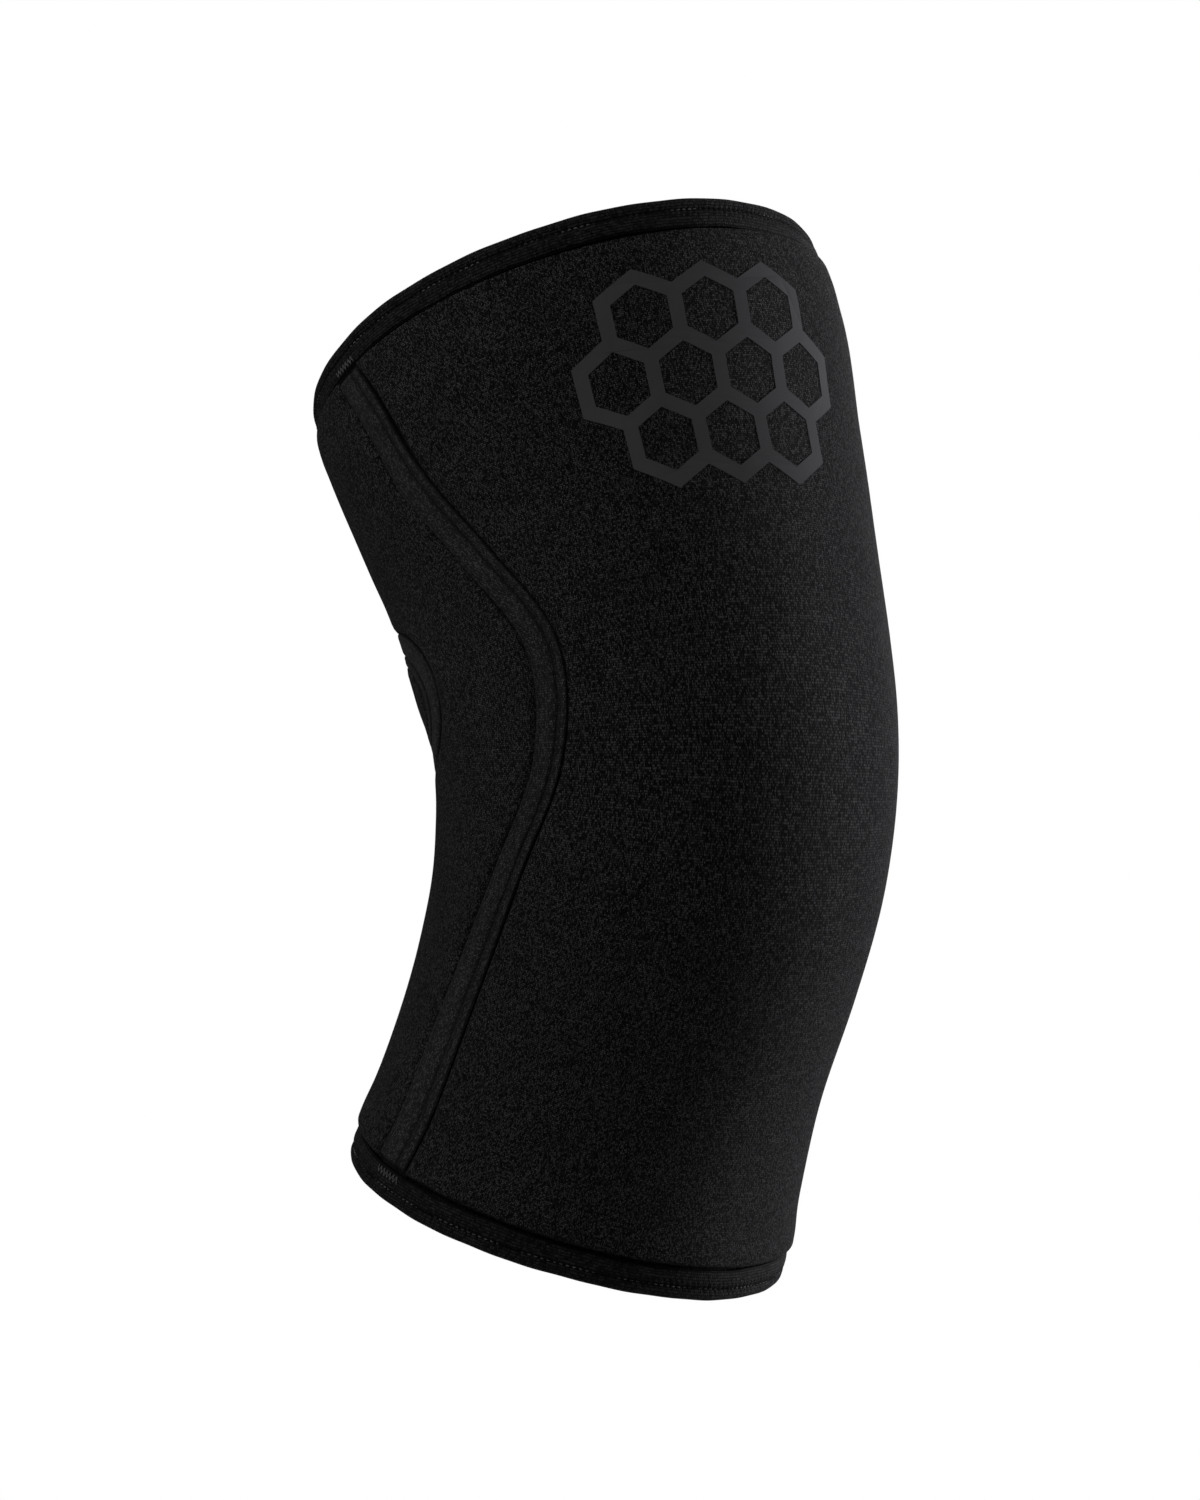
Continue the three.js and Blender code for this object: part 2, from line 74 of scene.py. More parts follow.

# %% [markdown]
# ## The camera
#
# The sleeve is seen from its outer side and a little from the front, from just below the knee. A long lens
# from 2.6 metres keeps the two rims almost equally large. The camera is set with an azimuth and an
# elevation, so that its view direction can be read off the code.

# %% Camera
IMAGE_HEIGHT = 1500
SENSOR_WIDTH = 36
VIEW_AZIMUTH = math.radians(-34.4)
VIEW_ELEVATION = math.radians(-2.3)
VIEW_DISTANCE = 2.6
SHIFT_RIGHT = -0.01876
SHIFT_UP = 0.0070
METRES_PER_PIXEL = 0.00028

back_to_camera = Vector((
    math.sin(VIEW_AZIMUTH) * math.cos(VIEW_ELEVATION),
    -math.cos(VIEW_AZIMUTH) * math.cos(VIEW_ELEVATION),
    math.sin(VIEW_ELEVATION),
))
picture_right = Vector((math.cos(VIEW_AZIMUTH), math.sin(VIEW_AZIMUTH), 0))
picture_up = back_to_camera.cross(picture_right)

bpy.ops.object.select_all(action="DESELECT")
bpy.ops.object.camera_add()
camera = bpy.context.active_object
camera.name = "photo_camera"
camera.matrix_world = Matrix.Translation(
    back_to_camera * VIEW_DISTANCE + picture_right * SHIFT_RIGHT + picture_up * SHIFT_UP
) @ Matrix((picture_right, picture_up, back_to_camera)).transposed().to_4x4()
camera.data.sensor_width = SENSOR_WIDTH
camera.data.sensor_fit = "AUTO"
camera.data.lens = SENSOR_WIDTH * VIEW_DISTANCE / (IMAGE_HEIGHT * METRES_PER_PIXEL)
bpy.context.scene.camera = camera
print("lens in millimetres:", round(camera.data.lens, 1))

# %% [markdown]
# ## Stage and light
#
# Black cloth on white shows its form only by soft light. The strongest of five lights stands to the right
# and behind, and draws the bright streak down that side. A second one in front, from the upper left,
# lifts the dark middle. Three weak ones, above, to the left and behind, keep the edges off black.
# The background is white for the camera alone, because a white sky would wash the cloth out. The floor is
# a plain grey disc far below the sleeve, which keeps its worn form and doesn't stand on it.

# %% Background
scene = bpy.context.scene
scene.view_settings.view_transform = "Standard"
SKY_FOR_LIGHT = 0.16
SKY_COLOUR = (0.96, 0.97, 1, 1)
world = bpy.data.worlds.new("studio")
scene.world = world
world.use_nodes = True
sky = world.node_tree
sky.nodes.clear()
seen_sky = sky.nodes.new("ShaderNodeBackground")
seen_sky.inputs["Color"].default_value = (1, 1, 1, 1)
seen_sky.inputs["Strength"].default_value = 1
lit_sky = sky.nodes.new("ShaderNodeBackground")
lit_sky.inputs["Color"].default_value = SKY_COLOUR
lit_sky.inputs["Strength"].default_value = SKY_FOR_LIGHT
light_path = sky.nodes.new("ShaderNodeLightPath")
sky_mix = sky.nodes.new("ShaderNodeMixShader")
sky_out = sky.nodes.new("ShaderNodeOutputWorld")
sky.links.new(light_path.outputs["Is Camera Ray"], sky_mix.inputs[0])
sky.links.new(lit_sky.outputs[0], sky_mix.inputs[1])
sky.links.new(seen_sky.outputs[0], sky_mix.inputs[2])
sky.links.new(sky_mix.outputs[0], sky_out.inputs[0])

# %% Lights
# Each light: how far it stands to the right, up and towards the camera, in metres, its size, its power in
# watts and its colour.
LIGHTS = {
    "key_right": dict(right=1.5, up=0.15, near=-0.7, size=0.9, power=38, colour=(0.94, 0.935, 1)),
    "fill_left": dict(right=-1.5, up=0.7, near=-0.2, size=0.9, power=5, colour=(1, 0.99, 0.97)),
    "top_soft": dict(right=-0.2, up=1.6, near=0.6, size=0.8, power=3, colour=(1, 1, 1)),
    "front_soft": dict(right=-0.9, up=1.3, near=1.3, size=0.9, power=18, colour=(1, 1, 1)),
    "back_soft": dict(right=0.3, up=0.5, near=-1.8, size=1.2, power=9, colour=(1, 1, 1)),
}


def add_light(name, right, up, near, size, power, colour):
    bpy.ops.object.light_add(type="AREA")
    lamp = bpy.context.active_object
    lamp.name = name
    place = picture_right * right + picture_up * up + back_to_camera * near
    lamp.location = place
    lamp.rotation_euler = place.to_track_quat("Z", "Y").to_euler()
    lamp.data.shape = "SQUARE"
    lamp.data.size = size
    lamp.data.energy = power
    lamp.data.color = colour
    lamp.select_set(False)


for light_name, settings in LIGHTS.items():
    add_light(light_name, **settings)
print("lights:", len(LIGHTS))

# %% Floor
FLOOR_HEIGHT = -0.45
FLOOR_RADIUS = 4.0
FLOOR_CORNERS = 96
FLOOR_GREY = 0.4
FLOOR_ROUGHNESS = 0.8
bpy.ops.object.select_all(action="DESELECT")
bpy.ops.mesh.primitive_circle_add(vertices=FLOOR_CORNERS, radius=FLOOR_RADIUS, fill_type="NGON")
floor = bpy.context.active_object
floor.name = "floor"
bpy.ops.transform.translate(value=(0, 0, FLOOR_HEIGHT))
bpy.ops.object.transform_apply(location=True, rotation=True, scale=True)
floor_paint = bpy.data.materials.new("pale_floor")
floor_paint.use_nodes = True
floor_shader = floor_paint.node_tree.nodes["Principled BSDF"]
floor_shader.inputs["Base Color"].default_value = (FLOOR_GREY, FLOOR_GREY, FLOOR_GREY, 1)
floor_shader.inputs["Roughness"].default_value = FLOOR_ROUGHNESS
floor.data.materials.append(floor_paint)

# %% [markdown]
# ## The leg's own coordinates
#
# The sleeve follows a bent knee, so straight X, Y and Z are poor guides for a knitter or a tailor. The
# same short table that shapes the solids is used here. A place on the cloth is a height up the middle line
# of the leg, a turn round it from the front, and a rise above the outer face. The columns of the table
# are the lean back, the lean aside, the half width, the half depths in front and behind, the place of the
# side seam, and the worn tape's width, which stretching changes.

# %% Sections of the leg
SLEEVE_LENGTH = 269
KNEE_HEIGHT = 131
KNEE_BEND = math.radians(50)
SIDE_BEND = math.radians(8)
KNEE_RADIUS = 64
SECTIONS = np.array([
    # lean, aside, side, front, back, seam, tape
    [-0.44, 0.6, 1.03, 0.99, 0.98, 0.5, 1.25],
    [-0.46, 0.55, 0.97, 0.94, 0.98, 0.495, 1.25],
    [-0.45, 0.45, 0.94, 0.91, 0.99, 0.49, 1.18],
    [-0.38, 0.35, 0.96, 0.95, 0.97, 0.46, 1.04],
    [-0.25, 0.12, 0.99, 1.01, 0.99, 0.42, 0.9],
    [-0.02, 0.0, 1.01, 1.02, 1.05, 0.365, 0.88],
    [0.23, -0.15, 1.04, 0.95, 1.17, 0.352, 0.95],
    [0.37, -0.2, 1.07, 0.96, 1.2, 0.43, 1.06],
    [0.45, -0.4, 1.13, 1.0, 1.25, 0.49, 1.08],
    [0.5, -0.48, 1.19, 1.1, 1.26, 0.512, 1.06],
    [0.51, -0.59, 1.19, 1.13, 1.28, 0.54, 1.06],
])
section_rows = np.vstack([SECTIONS[1], SECTIONS, SECTIONS[-2]])


def section_at(height):
    """The leg's directions and half sizes at each height, on a smooth curve through the table's rows."""
    height = np.asarray(height, float)
    place = np.clip(height / SLEEVE_LENGTH, 0, 1) * (len(SECTIONS) - 1)
    row = np.minimum(place.astype(int), len(SECTIONS) - 2)
    part = (place - row)[..., None]
    before, here, after, beyond = (section_rows[row + step] for step in range(4))
    values = 0.5 * (
        2 * here
        + (after - before) * part
        + (2 * before - 5 * here + 4 * after - beyond) * part**2
        + (3 * here - before - 3 * after + beyond) * part**3
    )
    lean, aside, side, front, back, seam, tape = np.moveaxis(values, -1, 0)
    tilt, list_ = -lean * KNEE_BEND, aside * SIDE_BEND
    none = np.zeros_like(tilt)
    upward = np.stack([np.sin(list_), -np.sin(tilt) * np.cos(list_), np.cos(tilt) * np.cos(list_)], -1)
    forward = np.stack([none, -np.cos(tilt), -np.sin(tilt)], -1)
    sideways = np.stack([np.cos(list_), np.sin(tilt) * np.sin(list_), -np.cos(tilt) * np.sin(list_)], -1)
    return dict(
        upward=upward, forward=forward, sideways=sideways, side=side * KNEE_RADIUS,
        front=front * KNEE_RADIUS, back=back * KNEE_RADIUS, seam=seam * math.pi,
        tape=tape,
    )


MIDDLE_STEPS = 400
middle_step = SLEEVE_LENGTH / MIDDLE_STEPS
middle_heights = np.arange(MIDDLE_STEPS + 1) * middle_step
steps_up = section_at(middle_heights[:-1] + middle_step / 2)["upward"] * middle_step
middle_points = np.vstack([np.zeros(3), np.cumsum(steps_up, axis=0)])
knee_centre = np.array([np.interp(KNEE_HEIGHT, middle_heights, middle_points[:, k]) for k in range(3)])
middle_points = middle_points - knee_centre
print("middle line from", middle_points[0].round(1), "to", middle_points[-1].round(1))

# %% The worn face
HEIGHT_PROBE = 2
TURN_PROBE = 0.02


def full_face(height, turn):
    """The outer face of the sleeve in millimetres, without seams or stitches."""
    at = section_at(height)
    inside = np.clip(height, 0, SLEEVE_LENGTH)
    centre = np.stack([np.interp(inside, middle_heights, middle_points[:, k]) for k in range(3)], -1)
    depth = np.where(np.cos(turn) > 0, at["front"], at["back"])
    return (
        centre
        + at["upward"] * (height - inside)[..., None]
        + at["forward"] * (depth * np.cos(turn))[..., None]
        - at["sideways"] * (at["side"] * np.sin(turn))[..., None]
    )


def face_directions(height, turn):
    """The outward direction of the face, and the millimetres in a radian of turn."""
    up = full_face(height + HEIGHT_PROBE, turn) - full_face(height - HEIGHT_PROBE, turn)
    around = full_face(height, turn + TURN_PROBE) - full_face(height, turn - TURN_PROBE)
    outward = np.cross(up, around)
    outward /= np.linalg.norm(outward, axis=-1, keepdims=True)
    return outward, np.linalg.norm(around, axis=-1) / (2 * TURN_PROBE)


def worn(height, turn, rise):
    """Where a point of the worn cloth is, in metres."""
    height, turn, rise = np.broadcast_arrays(height, turn, rise)
    outward, _ = face_directions(height, turn)
    return (full_face(height, turn) + outward * rise[..., None]) * MILLIMETRE


def leg_place(points):
    """The height, turn and rise of points that are given in metres: worn() the other way round."""
    points = np.asarray(points, float) / MILLIMETRE
    upward = section_at(middle_heights)["upward"]
    above = points @ upward.T - np.sum(middle_points * upward, axis=1)
    passed = np.clip((above > 0).sum(axis=1), 1, MIDDLE_STEPS)
    pick = np.arange(len(points))
    low, high = above[pick, passed - 1], above[pick, passed]
    height = (passed - 1 + low / (low - high)) * middle_step
    at = section_at(height)
    centre = np.stack([np.interp(height, middle_heights, middle_points[:, k]) for k in range(3)], -1)
    offset = points - centre
    ahead = np.sum(offset * at["forward"], axis=1)
    aside = np.sum(offset * at["sideways"], axis=1)
    depth = np.where(ahead > 0, at["front"], at["back"])
    turn = np.arctan2(-aside / at["side"], ahead / depth)
    outward, _ = face_directions(height, turn)
    rise = np.sum((points - full_face(height, turn)) * outward, axis=1)
    return height, turn, rise


there = worn(np.array([60.0, 200.0]), np.array([0.4, 2.5]), np.array([0.0, -3.0]))
print("round trip:", [values.round(2) for values in leg_place(there)])

# %% [markdown]
# ## Helpers for the workbench
#
# Blender's operators work on what is selected, so each helper first selects only its own piece. A copy of
# a solid comes as loose triangles: its corners are merged, and the pairs of triangles are joined to
# four-sided faces, which subdivide evenly.

# %% Selection, copies and numbers
MERGE_DISTANCE = 0.00002
SHARP_EDGE = math.radians(50)
QUAD_ANGLE = math.radians(40)


def only(piece):
    bpy.ops.object.select_all(action="DESELECT")
    piece.select_set(True)
    bpy.context.view_layer.objects.active = piece


def corners_of(piece):
    values = np.empty(len(piece.data.vertices) * 3, np.float32)
    piece.data.vertices.foreach_get("co", values)
    return values.reshape(-1, 3).astype(float)


def set_corners(piece, points):
    piece.data.vertices.foreach_set("co", np.ascontiguousarray(points, np.float32).ravel())
    piece.data.update()


def apply_modifier(piece, kind, **settings):
    only(piece)
    modifier = piece.modifiers.new(kind.lower(), kind)
    for name, value in settings.items():
        setattr(modifier, name, value)
    bpy.ops.object.modifier_apply(modifier=modifier.name)


def cloth_copy(node_name, piece_name):
    """A merged copy of a solid, with four-sided faces and its sharp edges creased."""
    piece = bpy.data.objects.new(piece_name, frame["nodes"][node_name].data.copy())
    piece.data.name = piece_name
    piece.data.materials.clear()
    scene.collection.objects.link(piece)
    only(piece)
    bpy.ops.mesh.customdata_custom_splitnormals_clear()
    bpy.ops.object.mode_set(mode="EDIT")
    bpy.ops.mesh.select_mode(type="EDGE")
    bpy.ops.mesh.select_all(action="SELECT")
    bpy.ops.mesh.mark_sharp(clear=True)
    bpy.ops.mesh.remove_doubles(threshold=MERGE_DISTANCE)
    bpy.ops.mesh.tris_convert_to_quads(face_threshold=QUAD_ANGLE, shape_threshold=QUAD_ANGLE)
    bpy.ops.mesh.select_all(action="DESELECT")
    bpy.ops.mesh.edges_select_sharp(sharpness=SHARP_EDGE)
    bpy.ops.transform.edge_crease(value=1)
    bpy.ops.object.mode_set(mode="OBJECT")
    return piece


def smooth(piece):
    only(piece)
    bpy.ops.object.shade_smooth_by_angle(angle=SHARP_EDGE)


def set_flat_map(piece, flat):
    """Keeps each corner's flat place in millimetres in the UV map that the cloth patterns follow."""
    while piece.data.uv_layers:
        piece.data.uv_layers.remove(piece.data.uv_layers[0])
    layer = piece.data.uv_layers.new(name="flat")
    of_loop = np.empty(len(piece.data.loops), np.int32)
    piece.data.loops.foreach_get("vertex_index", of_loop)
    layer.data.foreach_set("uv", np.ascontiguousarray(flat[of_loop], np.float32).ravel())


def set_painted_shade(piece, values):
    """Keeps painted shade for each corner, from 0 to 1: how deep it lies in a seam or a groove, where the
    colour is darkened as shade.
    """
    painted_shade = piece.data.attributes.new("painted_shade", "FLOAT", "POINT")
    painted_shade.data.foreach_set("value", np.ascontiguousarray(np.clip(values, 0, 1), np.float32))


def smoothstep(value, low, high):
    share = np.clip((value - low) / (high - low), 0, 1)
    return share * share * (3 - 2 * share)


def near_line(distance, width):
    """1 on a line and 0 away from it, with a soft shoulder as wide as given."""
    return np.exp(-((distance / width) ** 2))


def finished(piece, slot, *nodes):
    """Hands the piece over: what it rides on, its finish, and the solids that it stands for."""
    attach(piece, "root")
    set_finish(piece, slot)
    if nodes:
        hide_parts(*nodes)
    print(piece.name, "has", len(piece.data.polygons), "faces")


# %% [markdown]
# ## The shape of the foam at its seams
#
# A needle pulls thick foam down, and the foam swells again beside the tape. That gives the dark line along
# each tape in the photograph. The same curve is used along the side seams and round the insert, and a
# similar one beside the bindings. It is a short table: distance from the seam against depth.

# %% Depth of the face
TAPE_HALF = 5.5
SEAM_DISTANCES = [0, 4.6, 5.5, 5.9, 6.7, 9.0, 12.0, 17.0]
SEAM_DEPTHS = [1.35, 1.35, 1.25, 0.6, 0.05, -0.18, -0.1, 0]
RIM_DISTANCES = [0, 9.8, 10.0, 10.35, 10.9, 15.0, 21.0]
RIM_DEPTHS = [3.0, 3.0, 1.8, 0.65, 0.0, -0.18, 0]
INSERT_HALF_WIDTH = 79
INSERT_HALF_HEIGHT = 36.5
INSERT_CENTRE = KNEE_HEIGHT + 27
LEAST_SHARE = 0.2
LEAST_SLOPE = 0.5 / INSERT_HALF_WIDTH
SWELLING_ENDS = 0.5
UNEVEN_DEPTH = 0.22
UNEVEN_LENGTH = 26


def seam_distance(height, turn):
    """Distance from the side seam, measured in the flat tape's millimetres."""
    at = section_at(height)
    _, per_radian = face_directions(height, turn)
    wrapped = (turn + math.pi) % (2 * math.pi) - math.pi
    return np.abs(np.abs(wrapped) - at["seam"]) * per_radian / at["tape"]


def insert_distance(height, turn):
    """Distance from the insert's outline, outwards, good near the outline only."""
    across = (turn % (2 * math.pi) - math.pi) * KNEE_RADIUS
    up = height - INSERT_CENTRE
    share = np.maximum(np.hypot(across / INSERT_HALF_WIDTH, up / INSERT_HALF_HEIGHT), LEAST_SHARE)
    slope = np.hypot(across / INSERT_HALF_WIDTH**2, up / INSERT_HALF_HEIGHT**2) / share
    return (share - 1) / np.maximum(slope, LEAST_SLOPE)


def face_depth(height, turn):
    """How deep the foam's face lies. A negative depth is a swelling beside a seam."""
    beside = np.minimum(seam_distance(height, turn), np.abs(insert_distance(height, turn)))
    seam = np.interp(beside, SEAM_DISTANCES, SEAM_DEPTHS)
    rim = np.interp(np.minimum(height, SLEEVE_LENGTH - height), RIM_DISTANCES, RIM_DEPTHS)
    pulled = np.maximum(np.maximum(seam, rim), 0)
    swollen = np.minimum(np.minimum(seam, rim), 0)
    return pulled + swollen * (1 - smoothstep(pulled, 0, SWELLING_ENDS))


def unevenness(points):
    """Slow waves in the worn foam, the same on each run."""
    scale = 1 / (UNEVEN_LENGTH * MILLIMETRE)
    return np.array([noise.noise(Vector(point) * scale) for point in points]) * UNEVEN_DEPTH


print("depth beside a seam:", face_depth(np.full(3, 135.0), np.array([0.9, 1.1, 1.2])).round(2))

# %% [markdown]
# ## Panels and insert
#
# The three pieces of foam are one and the same cloth. Each starts as a merged copy of its solid, divided
# twice so that the face curves without facets, and then each corner of the outer face is set to the depth
# that the seams, the rims and the slow waves ask for. The sharp edges are creased, so that the cut edges
# stay close to each other under the tapes.

# %% Panels of foam
OUTER_RISE = -3.4
OUTER_BLEND = 1.4
SEWN_DEPTH = 1
# Depths where the painted shade on the face starts and is full, in millimetres.
SHADE_DEPTH_FROM = 0.15
SHADE_DEPTH_TO = 0.95
FOAM_PIECES = {
    "front_foam": "front_panel",
    "back_foam": "back_panel",
    "hollow_insert_foam": "knee_hollow_insert",
}


def foam_piece(piece_name, node_name):
    piece = cloth_copy(node_name, piece_name)
    apply_modifier(piece, "SUBSURF", levels=2, render_levels=2)
    points = corners_of(piece)
    height, turn, rise = leg_place(points)
    if node_name != "front_panel":
        turn = turn % (2 * math.pi)
    depth = face_depth(height, turn)
    outer = smoothstep(rise, OUTER_RISE, OUTER_RISE + OUTER_BLEND)
    waves = unevenness(points)
    outward, _ = face_directions(height, turn)
    shift = outer * (-depth + waves * (depth < SEWN_DEPTH) - rise)
    set_corners(piece, points + outward * shift[:, None] * MILLIMETRE)
    set_flat_map(piece, np.stack([turn * KNEE_RADIUS, height], axis=1))
    # Painted shade: the colour is darkened where the face is pulled deep at the seams and under the bindings.
    set_painted_shade(piece, outer * smoothstep(depth, SHADE_DEPTH_FROM, SHADE_DEPTH_TO))
    smooth(piece)
    return piece


foam = {name: foam_piece(name, node) for name, node in FOAM_PIECES.items()}
for name, node in FOAM_PIECES.items():
    finished(foam[name], "knit_neoprene", node)

# %% [markdown]
# ## Seam tapes
#
# A tape is a strip of stretch cloth, 11 millimetres wide, sewn flat over the seam with a needle line near
# each edge and one between, so it swells into a wide roll and a narrow one. It is modelled as a flat grid,
# given its thickness by Solidify while it is flat, and then laid along the seam. A grid is easier than a
# swept curve here, because its two directions stay the two directions of the cloth.

# %% Flat strips
TAPE_GROOVE = 2.1
TAPE_THICKNESS = 0.6
TAPE_SINK = 0.6
WIDE_ROLL = 0.62
NARROW_ROLL = 0.55
ROLL_STEEPNESS = 5
ROLL_PAST_EDGE = 0.1
STITCH_PITCH = 2.4
PUCKER = 0.09
PUCKER_WIDTH = 1.1
EDGE_PUCKER_AT = 5.1
EDGE_PUCKER_WIDTH = 1.0
# Widths and strengths of the painted shade in the tape's groove, along its second needle lines and at its
# edges and ends.
GROOVE_SHADE_WIDTH = 0.62
SECOND_LINES = (-4.0, TAPE_GROOVE + 1.1)
SECOND_LINE_WIDTH = 0.35
SECOND_LINE_SHADE = 0.55
EDGE_SHADE_FROM = TAPE_HALF - 0.75
EDGE_SHADE_TO = TAPE_HALF - 0.15
END_SHADE_FROM = 0.2
END_SHADE_TO = 1.2


def flat_strip(name, width, length, across, along, thickness):
    """A strip of cloth that lies flat, from x = 0 in its middle and y = 0 at its start."""
    bpy.ops.object.select_all(action="DESELECT")
    bpy.ops.mesh.primitive_grid_add(x_subdivisions=across, y_subdivisions=along, size=1)
    piece = bpy.context.active_object
    piece.name = name
    piece.data.name = name
    bpy.ops.transform.resize(value=(width * MILLIMETRE, length * MILLIMETRE, 1))
    bpy.ops.transform.translate(value=(0, length * MILLIMETRE / 2, 0))
    bpy.ops.object.transform_apply(location=True, rotation=True, scale=True)
    apply_modifier(piece, "SOLIDIFY", thickness=thickness * MILLIMETRE, offset=-1)
    set_flat_map(piece, corners_of(piece)[:, :2] / MILLIMETRE)
    return piece


def roll(x, low, high):
    """A crown between two needle lines: 0 at them, 1 in the middle, steep at both sides."""
    share = np.clip((x - low) / (high - low), 0, 1)
    return 1 - np.abs(2 * share - 1) ** ROLL_STEEPNESS


def tape_rise(x, y):
    """The tape's outer face: a wide roll, a narrow one, and puckers at the needle lines."""
    wide = WIDE_ROLL * roll(x, -TAPE_HALF - ROLL_PAST_EDGE, TAPE_GROOVE)
    narrow = NARROW_ROLL * roll(x, TAPE_GROOVE, TAPE_HALF + ROLL_PAST_EDGE)
    pulled = np.cos(2 * math.pi * y / STITCH_PITCH) * PUCKER
    sewn = near_line(x - TAPE_GROOVE, PUCKER_WIDTH) + near_line(np.abs(x) - EDGE_PUCKER_AT, EDGE_PUCKER_WIDTH)
    return -TAPE_SINK + wide + narrow + pulled * sewn


def tape_painted_shade(x):
    """Painted shade: darkest in the groove and at both edges, and fainter along a second needle line beside
    two of them.
    """
    groove = near_line(x - TAPE_GROOVE, GROOVE_SHADE_WIDTH)
    second_lines = sum(near_line(x - line, SECOND_LINE_WIDTH) for line in SECOND_LINES)
    return groove + SECOND_LINE_SHADE * second_lines + smoothstep(np.abs(x), EDGE_SHADE_FROM, EDGE_SHADE_TO)


def lay_tape(piece, place):
    """Lays a flat tape: place gives the height, the turn and the sinking for a distance across and along."""
    flat = corners_of(piece) / MILLIMETRE
    x, y, z = flat.T
    height, turn, sunk = place(x, y)
    set_corners(piece, worn(height, turn, tape_rise(x, y) + z - sunk))
    # Painted shade on the tape, and where its ends sink under the bindings.
    set_painted_shade(piece, tape_painted_shade(x) + smoothstep(sunk, END_SHADE_FROM, END_SHADE_TO))


# %% Side seam tapes
TAPE_ACROSS = 34
TAPE_ALONG = 330
TAPE_FROM = 9.8
END_SINK = 2.2
END_SINK_LENGTH = 2.8
tape_length = SLEEVE_LENGTH - 2 * TAPE_FROM


def side_seam(side):
    """Across is towards the front of the leg, on the side -1 or 1. The ends dive under the bindings."""
    def place(x, y):
        height = TAPE_FROM + y
        at = section_at(height)
        _, per_radian = face_directions(height, at["seam"])
        sunk = END_SINK * (1 - smoothstep(np.minimum(y, tape_length - y), 0, END_SINK_LENGTH))
        return height, side * (at["seam"] - x * at["tape"] / per_radian), sunk
    return place


tapes = {}
for tape_name, side in (("side_seam_tape_near", 1), ("side_seam_tape_far", -1)):
    tapes[tape_name] = flat_strip(
        tape_name, 2 * TAPE_HALF, tape_length, TAPE_ACROSS, TAPE_ALONG, TAPE_THICKNESS
    )
    lay_tape(tapes[tape_name], side_seam(side))

# %% Tape round the insert
OVAL_STEPS = 720
oval_angles = np.linspace(0, 2 * math.pi, OVAL_STEPS + 1)


def oval_place(angle, distance):
    """A place at a distance outwards from the insert's outline."""
    across, up = np.cos(angle), np.sin(angle)
    away = np.stack([across / INSERT_HALF_WIDTH, up / INSERT_HALF_HEIGHT], -1)
    away /= np.linalg.norm(away, axis=-1, keepdims=True)
    height = INSERT_CENTRE + up * INSERT_HALF_HEIGHT + away[..., 1] * distance
    turn = math.pi - (across * INSERT_HALF_WIDTH + away[..., 0] * distance) / KNEE_RADIUS
    return height, turn


outline = worn(*oval_place(oval_angles, 0), 0.0) / MILLIMETRE
oval_walked = np.concatenate([[0], np.cumsum(np.linalg.norm(np.diff(outline, axis=0), axis=1))])
oval_length = oval_walked[-1]


def round_insert(x, y):
    """Across is inwards here, so that the wide roll is the outer one."""
    height, turn = oval_place(np.interp(y, oval_walked, oval_angles), -x)
    return height, turn, np.zeros_like(height)


HOLLOW_TAPE_ALONG = 460
tapes["hollow_seam_tape_sewn"] = flat_strip(
    "hollow_seam_tape_sewn", 2 * TAPE_HALF, oval_length, TAPE_ACROSS, HOLLOW_TAPE_ALONG, TAPE_THICKNESS
)
lay_tape(tapes["hollow_seam_tape_sewn"], round_insert)
print("tape round the insert:", round(float(oval_length), 1), "mm")

# %% [markdown]
# The round tape's two ends meet, so its doubled corners are merged and the two end walls, which now lie
# face to face inside the tape, are removed.

# %% Close a round strip
END_TOLERANCE = 0.001


def close_strip(piece, length):
    """Joins the two ends of a strip that was laid in a ring."""
    only(piece)
    bpy.ops.object.mode_set(mode="EDIT")
    bpy.ops.mesh.select_mode(type="FACE")
    bpy.ops.mesh.select_all(action="DESELECT")
    bpy.ops.object.mode_set(mode="OBJECT")
    layer = piece.data.uv_layers["flat"].data
    for face in piece.data.polygons:
        ends = [layer[k].uv.y for k in face.loop_indices]
        face.select = bool(max(ends) < END_TOLERANCE or min(ends) > length - END_TOLERANCE)
    bpy.ops.object.mode_set(mode="EDIT")
    bpy.ops.mesh.delete(type="FACE")
    bpy.ops.mesh.select_all(action="SELECT")
    bpy.ops.mesh.remove_doubles(threshold=MERGE_DISTANCE)
    bpy.ops.mesh.normals_make_consistent(inside=False)
    bpy.ops.object.mode_set(mode="OBJECT")


close_strip(tapes["hollow_seam_tape_sewn"], oval_length)
TAPE_NODES = {
    "side_seam_tape_near": ("side_seam_tape_left", tape_length),
    "side_seam_tape_far": ("side_seam_tape_right", tape_length),
    "hollow_seam_tape_sewn": ("hollow_seam_tape", oval_length),
}
for tape_name, (node, length) in TAPE_NODES.items():
    only(tapes[tape_name])
    bpy.ops.object.mode_set(mode="EDIT")
    bpy.ops.mesh.select_all(action="SELECT")
    bpy.ops.mesh.normals_make_consistent(inside=False)
    bpy.ops.object.mode_set(mode="OBJECT")
    smooth(tapes[tape_name])
    finished(tapes[tape_name], "seam_tape", node)

# %% [markdown]
# ## Bindings
#
# Each rim is bound with a band that is folded over the edge and sewn through, which makes a roll at the
# rim and a second one below the stitches, with a small slanted pucker at each stitch. The band is cut
# flat, thickened, and folded by following a path: up the outside, round the rim and down the inside.

